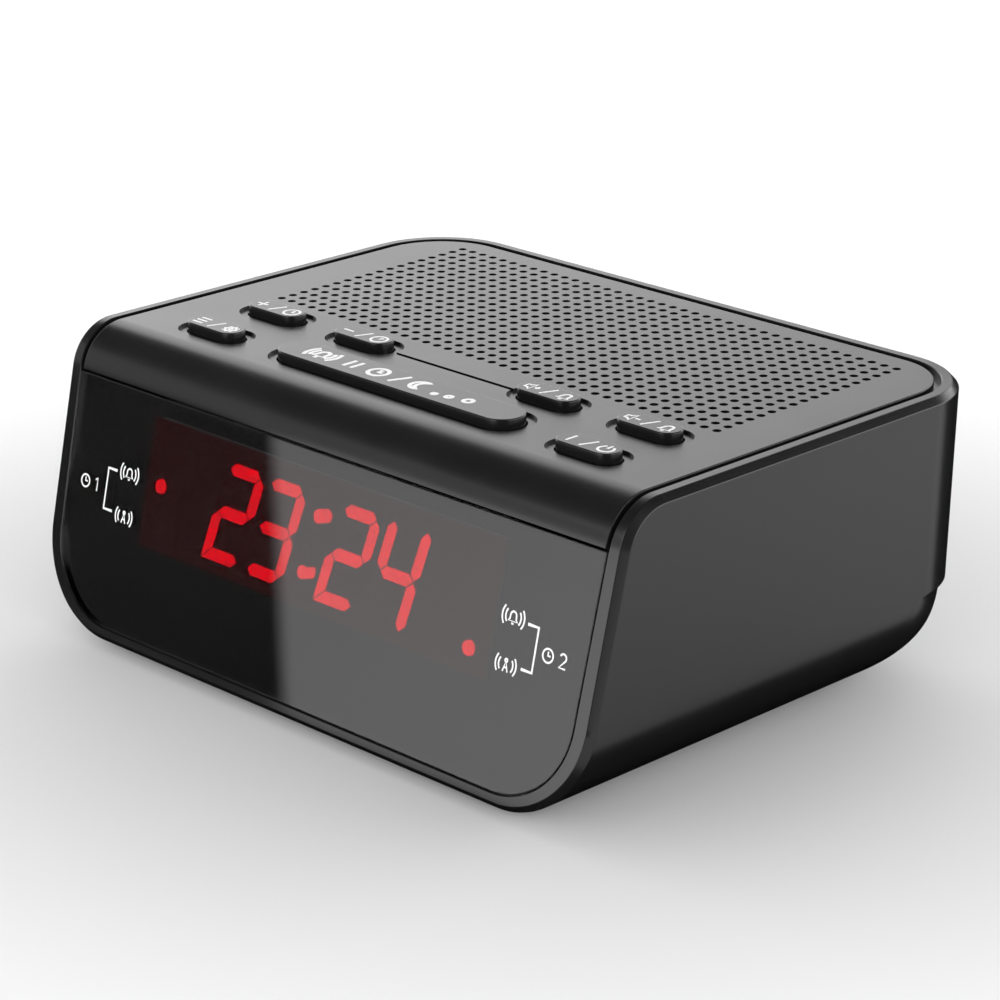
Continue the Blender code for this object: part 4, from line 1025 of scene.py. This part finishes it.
def build_prints():
    on_keys = Matrix.Translation((0, 0, KEY_TOP))
    for name, (first, second) in KEY_ICONS.items():
        x, y, _, _ = KEYS[name]
        strokes = moved(first, x - KEY_ICON_REACH, y, KEY_ICON_SIZE)
        strokes += moved(SLASH, x, y, KEY_ICON_SIZE) + moved(second, x + KEY_ICON_REACH, y, KEY_ICON_SIZE)
        ink("marks_" + name, strokes, KEY_STROKE, on_keys, "key_" + name)
    x, y, _, _ = KEYS["snooze"]
    strokes = []
    row = {
        -18.5: icon_bell() + icon_waves(),
        -10.8: PAUSE,
        -4.6: icon_clock((0.5, 0)),
        0.6: SLASH,
        5.6: icon_moon(),
        10.3: ring(0, -0.75, 0.2),
        13.2: ring(0, -0.45, 0.3),
        17.0: ring(0, -0.05, 0.45),
    }
    for place, icon in row.items():
        strokes += moved(icon, x + SNOOZE_MIDDLE[0] + place * MM, y + SNOOZE_MIDDLE[1], SNOOZE_ICON_SIZE)
    ink("marks_snooze", strokes, SNOOZE_STROKE, on_keys, "key_snooze")

    one = line((-0.45, 0.7), (0.05, 1.05), (0.05, -1.05))
    two = [([*arc((0, 0.45), 0.6, 160, -35, 8), (-0.62, -1.05), (0.66, -1.05)], False)]
    upper, label, lower, size = -22.75 * MM, -26.7 * MM, -30.5 * MM, 1.1 * MM
    for side, sign, figure in (("left", -1, one), ("right", 1, two)):
        middle, clock = sign * 47.2 * MM, sign * 57.1 * MM
        fine = moved(icon_bell() + icon_waves(1.45), middle, upper, 1.15 * MM)
        fine += moved(MAST + icon_waves(1.35), middle, lower, 1.15 * MM)
        fine += moved(icon_clock((0.5, 0)), clock - 1.5 * MM, label, size)
        fine += moved(figure, clock + 1.7 * MM, label, size)
        ink("marks_alarm_" + side, fine, 0.32 * MM, FACE, "case")
        inner, outer, high, low = sign * 50.5 * MM, sign * 52.85 * MM, -23.0 * MM, -30.3 * MM
        bracket = line((inner, high), (outer, high), (outer, low), (inner, low))
        ink("marks_bracket_" + side, bracket, 0.5 * MM, FACE, "case")


# ---------------------------------------------------------------------------- underside and rear


def build_door():
    low, high = FLOOR, FLOOR + DOOR_THICK
    tongue = DOOR_HALF + 1.2 * MM
    door = box("bay_door", (-DOOR_HALF, DOOR_FRONT, low), (DOOR_HALF, 60 * MM, high))
    join(door, box("tongue", (-tongue, DOOR_FRONT, low + 1.1 * MM), (tongue, 60 * MM, high)))
    carve(door, "INTERSECT", case_loft("door_form", 0.0, TOP, 24, 22))
    grips = []
    for i in range(5):
        y = (30 + 1.8 * i) * MM
        grips.append(box("grip", (-8 * MM, y, low - 1 * MM), (8 * MM, y + 0.9 * MM, low + 0.5 * MM)))
    arrow = [(-2.2 * MM, 24 * MM), (2.2 * MM, 24 * MM), (0, 27.5 * MM)]
    cut(door, *grips, plate("arrow", arrow, low - 1 * MM, low + 0.3 * MM))
    piece(door, "door", CASE, "case_plastic", "battery_door")


def build_feet():
    for name in FEET:
        low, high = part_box(name)
        x, y, radius = (low.x + high.x) / 2, (low.y + high.y) / 2, (high.x - low.x) / 2
        profile = [(0.0, high.z), (radius, high.z)]
        profile += [(radius - 0.5 * MM + a, 0.5 * MM + b) for a, b in arc((0, 0), 0.5 * MM, 0, -90, 6)]
        profile += [(radius - 1.6 * MM, 0.0), (radius - 1.9 * MM, 0.25 * MM), (0.0, 0.25 * MM)]
        piece(spun("pad_" + name, profile, Matrix.Translation((x, y, 0))), "case", RUBBER, "rubber", name)


def screw(name, node, shank, head, head_tall, length, pitch):
    """A pan-head screw that points up, with a cross recess and a rolled thread."""
    x, y = node_middle(node)
    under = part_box(node)[0].z
    seat = under + head_tall
    profile = [(0.0, length), (shank * 0.5, length - shank * 0.3)]
    turns = int((length - shank * 1.6) / pitch)
    for i in range(turns):
        top = length - shank - i * pitch
        profile += [(shank * 0.78, top), (shank, top - pitch * 0.35), (shank * 0.78, top - pitch * 0.7)]
    profile += [(shank * 0.8, 0.0), (head * 0.94, 0.0), (head, -0.15 * MM)]
    profile += [(head, -head_tall * 0.45), (head * 0.9, -head_tall * 0.8)]
    profile += [(head * 0.6, -head_tall), (0.0, -head_tall)]
    obj = spun(name, profile, Matrix.Translation((x, y, seat)), 32)
    reach, half, depth = head * 0.55, head * 0.11, head_tall * 0.55
    face = seat - head_tall
    levels = [(0.0, face - 1 * MM), (0.0, face), (half * 0.6, face + depth)]
    for a, b in ((reach, half), (half, reach)):
        cut(obj, stack("cross", lambda i, a=a, b=b: rectangle(x, y, a, b, i), levels))
    piece(obj, "case", STEEL, "steel", node)


def build_screws():
    large, small = (1.2 * MM, 2.6 * MM, 1.8 * MM), (0.85 * MM, 1.9 * MM, 1.2 * MM)
    for place in ("front_left", "front_right", "rear_left", "rear_right"):
        screw("long_screw_" + place, "case_screw_" + place, *large, 16 * MM, 1.1 * MM)
    for side in ("left", "right"):
        screw("board_screw_" + side, "key_board_screw_" + side, *small, 5 * MM, 0.7 * MM)
        screw("basket_screw_" + side, "speaker_screw_" + side, *small, 4.6 * MM, 0.7 * MM)


def build_inlets():
    x, z = JACK
    low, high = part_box("dc_jack")
    body = rounded_box((low.x, low.z), (high.x, high.z), 0.8 * MM)
    jack = stack("jack_body", lambda i: body, [(0, low.y), (0, REAR - 3.4 * MM)], BACKWARD)
    levels = soft_levels(44 * MM, high.y, 0.4 * MM, 4)
    join(jack, stack("nose", lambda i: circle(x, z, 4.0 * MM - i, 48), levels, BACKWARD))
    levels = [(0.4 * MM, 38 * MM), (0.4 * MM, high.y - 0.4 * MM), (-0.1 * MM, high.y + 0.1 * MM)]
    socket = stack("socket", lambda i: circle(x, z, 3.3 * MM - i, 48), levels, BACKWARD)
    jack = cut(jack, socket)
    jack.data.materials.append(NYLON)
    tip = high.y - 1.2 * MM
    levels = soft_levels(37.5 * MM, tip, 0.5 * MM, 4)
    pin = stack("pin", lambda i: circle(x, z, 1.0 * MM - i), levels, BACKWARD)
    pin.data.materials.append(NICKEL)
    join(jack, pin)
    piece(jack, "case", None, "black_nylon", "dc_jack")

    x, z = AERIAL
    out = Matrix.Translation((x, rear_edge(z), z)) @ Matrix.Rotation(-math.pi / 2, 4, "X")
    turns = [math.radians(angle) for angle in range(180, -1, -20)]
    collar = [(1.75 * MM + 0.75 * MM * math.cos(t), -0.85 * MM + 0.55 * MM * math.sin(t)) for t in turns]
    collar += [(2.5 * MM, -2.6 * MM), (4.0 * MM, -2.6 * MM), (4.0 * MM, -3.8 * MM), (1.0 * MM, -3.8 * MM)]
    piece(spun("wire_grommet", collar, out), "case", RUBBER, "rubber", "aerial_grommet")


def dress_cad_nodes():
    """Procedural materials on the CAD nodes that keep their own shape."""
    slots = {row["node"]: row["material_slot"] for row in frame["record"]["subparts"]}
    for name, obj in frame["nodes"].items():
        obj.data.materials.clear()
        obj.data.materials.append(SLOT_MATERIALS[slots[name]])


# ---------------------------------------------------------------------------- studio


HORIZON, ZENITH, OVERHEAD = 3.0, 0.1, 6.4
TOP_GLOW = (2.15, 1.2)  # of the card the top mirrors, from its left end to its right
LENS_GLOW = (1.75, 2.45)  # of the card the lens mirrors, likewise
CARDS_FACE = (0, 0, 0.04)


def reflector(name, corners):
    """A card that only reflections see. Returns its nodes and the emission socket to fill."""
    mesh = bpy.data.meshes.new(name)
    mesh.from_pydata([tuple(c) for c in corners], [], [(0, 1, 2, 3)])
    obj = new_object(name, mesh)
    n = Nodes(name)
    n.tree.nodes.remove(n.shader)
    glow = n.add("ShaderNodeEmission")
    n.wire(glow.outputs[0], n.tree.nodes["Material Output"].inputs["Surface"])
    mesh.materials.append(n.material)
    obj.visible_camera = obj.visible_diffuse = obj.visible_shadow = obj.visible_transmission = False
    obj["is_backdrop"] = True
    return n, glow.inputs["Strength"]


def card(name, place, facing, wide, tall, strength):
    """A plain reflector card, given by its middle and the place it looks at."""
    turn = (Vector(facing) - Vector(place)).to_track_quat("Z", "Y")
    corners = [(-wide, -tall), (wide, -tall), (wide, tall), (-wide, tall)]
    n, glow = reflector(name, [Vector(place) + turn @ Vector((a / 2, b / 2, 0)) for a, b in corners])
    glow.default_value = strength
    return n, glow


def flag(name, corners):
    """A black card that only reflections see."""
    _, glow = reflector(name, corners)
    glow.default_value = 0.0


def edge_flags():
    """Dark cards that draw the dark edges: on the table under the overhang, behind the rear corner,
    at the camera, high up behind the right side, and right of the lens card."""
    left, right, front, rear = -74 * MM, 76 * MM, -66 * MM, 62 * MM
    low = 0.3 * MM
    flag("table_flag", [(left, front, low), (right, front, low), (right, rear, low), (left, rear, low)])
    left, right, back, low, top = 46 * MM, 76 * MM, 60 * MM, 0.5 * MM, 57 * MM
    flag("rear_flag", [(left, back, low), (right, back, low), (right, back, top), (left, back, top)])
    card("camera_flag", (0.50, -0.50, 0.30), CARDS_FACE, 0.8, 0.7, 0.1)
    card("chamfer_flag", (0.45, 0.80, 0.85), CARDS_FACE, 0.9, 0.7, 0.0)
    near, far, low, high = 70 * MM, 190 * MM, 0.5 * MM, 120 * MM
    foot = [(near, -72 * MM, low), (far, -170 * MM, low)]
    flag("corner_flag", [*foot, (far, -200 * MM, high), (near, -134 * MM, high)])


def lens_card():
    """The card the lens mirrors, close in front of it: black on the left, bright on the right,
    with a soft slanting edge between and a slow rise of brightness to the right."""
    foot, top, tall = -72 * MM, -98 * MM, 50 * MM
    left, right = -190 * MM, 70 * MM
    corners = [(left, foot, 0.1 * MM), (right, foot, 0.1 * MM), (right, top, tall), (left, top, tall)]
    n, glow = reflector("lens_card", corners)
    axes = n.axes()
    lean = n.maths("MULTIPLY_ADD", axes["Z"], 1.08, axes["X"])
    edge = n.add("ShaderNodeMapRange", interpolation_type="SMOOTHSTEP")
    dial(edge, From_Min=-23 * MM, From_Max=-16.5 * MM)
    n.wire(lean, edge.inputs["Value"])
    rise = n.spread(axes["X"], *LENS_GLOW, -70 * MM, 45 * MM)
    n.wire(n.maths("MULTIPLY", edge.outputs["Result"], rise), glow)


def build_floor():
    """Pale paper with faint fibres, and painted shade: its colour darkens towards the object's foot, standing
    in for the object's broad soft shadow, and lightens farther out.
    """
    floor = loft("floor", [[(x, y, z) for x, y in circle(0, 0, 4.0, 64)] for z in (-0.02, 0.0)])
    n = Nodes("paper_floor")
    n.set(Roughness=0.9, Specular_IOR_Level=0.0)
    distance = n.add("ShaderNodeVectorMath", operation="LENGTH")
    n.wire(n.place, distance.inputs[0])
    # painted shade: the albedo falls from 0.90 to 0.76 towards the object's foot and rises by up to 0.09
    # farther out, standing in for the object's soft shadow on the floor
    paper = n.spread(distance.outputs["Value"], 0.76, 0.90, 0.07, 0.17)
    far = n.spread(distance.outputs["Value"], 0.0, 0.09, 0.17, 0.45)
    fibres = n.spread(n.noise(900.0), 0.995, 1.0)
    paper = n.maths("MULTIPLY", n.maths("ADD", paper, far), fibres)
    n.drive(Base_Color=n.blend(paper, (0, 0, 0), (1, 1, 1)))
    floor.data.materials.append(n.material)
    floor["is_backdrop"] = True


def build_sky():
    """Bright round the horizon, dark overhead."""
    world = bpy.data.worlds.new("studio")
    bpy.context.scene.world = world
    world.use_nodes = True
    tree = world.node_tree
    back = tree.nodes["Background"]
    back.inputs["Color"].default_value = (1, 1, 1, 1)
    direction = tree.nodes.new("ShaderNodeTexCoord")
    height = tree.nodes.new("ShaderNodeSeparateXYZ")
    fade = tree.nodes.new("ShaderNodeMapRange")
    dial(fade, From_Min=0.42, From_Max=0.7, To_Min=HORIZON, To_Max=ZENITH)
    tree.links.new(direction.outputs["Generated"], height.inputs[0])
    tree.links.new(height.outputs["Z"], fade.inputs["Value"])
    tree.links.new(fade.outputs["Result"], back.inputs["Strength"])


def build_lights():
    light = bpy.data.lights.new("overhead", "AREA")
    light.shape = "SQUARE"
    light.size = 1.8
    light.energy = OVERHEAD
    overhead = new_object("overhead", light)
    overhead.location = (-0.6, 0.55, 1.3)
    overhead.rotation_euler = (-overhead.location).to_track_quat("-Z", "Y").to_euler()
    overhead.visible_glossy = overhead.visible_camera = False

    n, glow = card("back_softbox", (-0.9, 0.9, 0.55), (0, 0, 0.05), 1.8, 0.9, 0.0)
    axes = n.axes()
    n.wire(n.spread(n.maths("ADD", axes["X"], axes["Y"]), *TOP_GLOW, -0.5, 0.5), glow)
    card("ceiling_flag", (-0.6, -0.2, 1.0), CARDS_FACE, 1.4, 1.4, 0.02)
    card("front_left_flag", (-0.75, -0.75, 0.25), CARDS_FACE, 1.4, 0.5, 0.6)
    edge_flags()
    lens_card()


def build_camera():
    azimuth, elevation, distance = math.radians(45.0), math.radians(20.0), 588 * MM
    aim = Vector((4.36, -4.72, 29.87)) * MM
    back = Vector((
        math.sin(azimuth) * math.cos(elevation),
        -math.cos(azimuth) * math.cos(elevation),
        math.sin(elevation),
    ))
    data = bpy.data.cameras.new("camera")
    data.lens, data.sensor_width = 122.73, 36.0
    data.clip_start = 0.05
    camera = new_object("camera", data)
    camera.location = aim + back * distance
    camera.rotation_euler = (-back).to_track_quat("-Z", "Y").to_euler()
    bpy.context.scene.camera = camera
    bpy.context.scene.view_settings.view_transform = "Standard"


build_camera()
dress_cad_nodes()
build_case()
build_cover()
build_lens()
build_keys()
build_digits()
build_prints()
build_door()
build_feet()
build_screws()
build_inlets()
build_floor()
build_sky()
build_lights()

bpy.context.view_layer.update()
[[list(corner) for corner in pair] for pair in (CAD_BOX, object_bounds())]
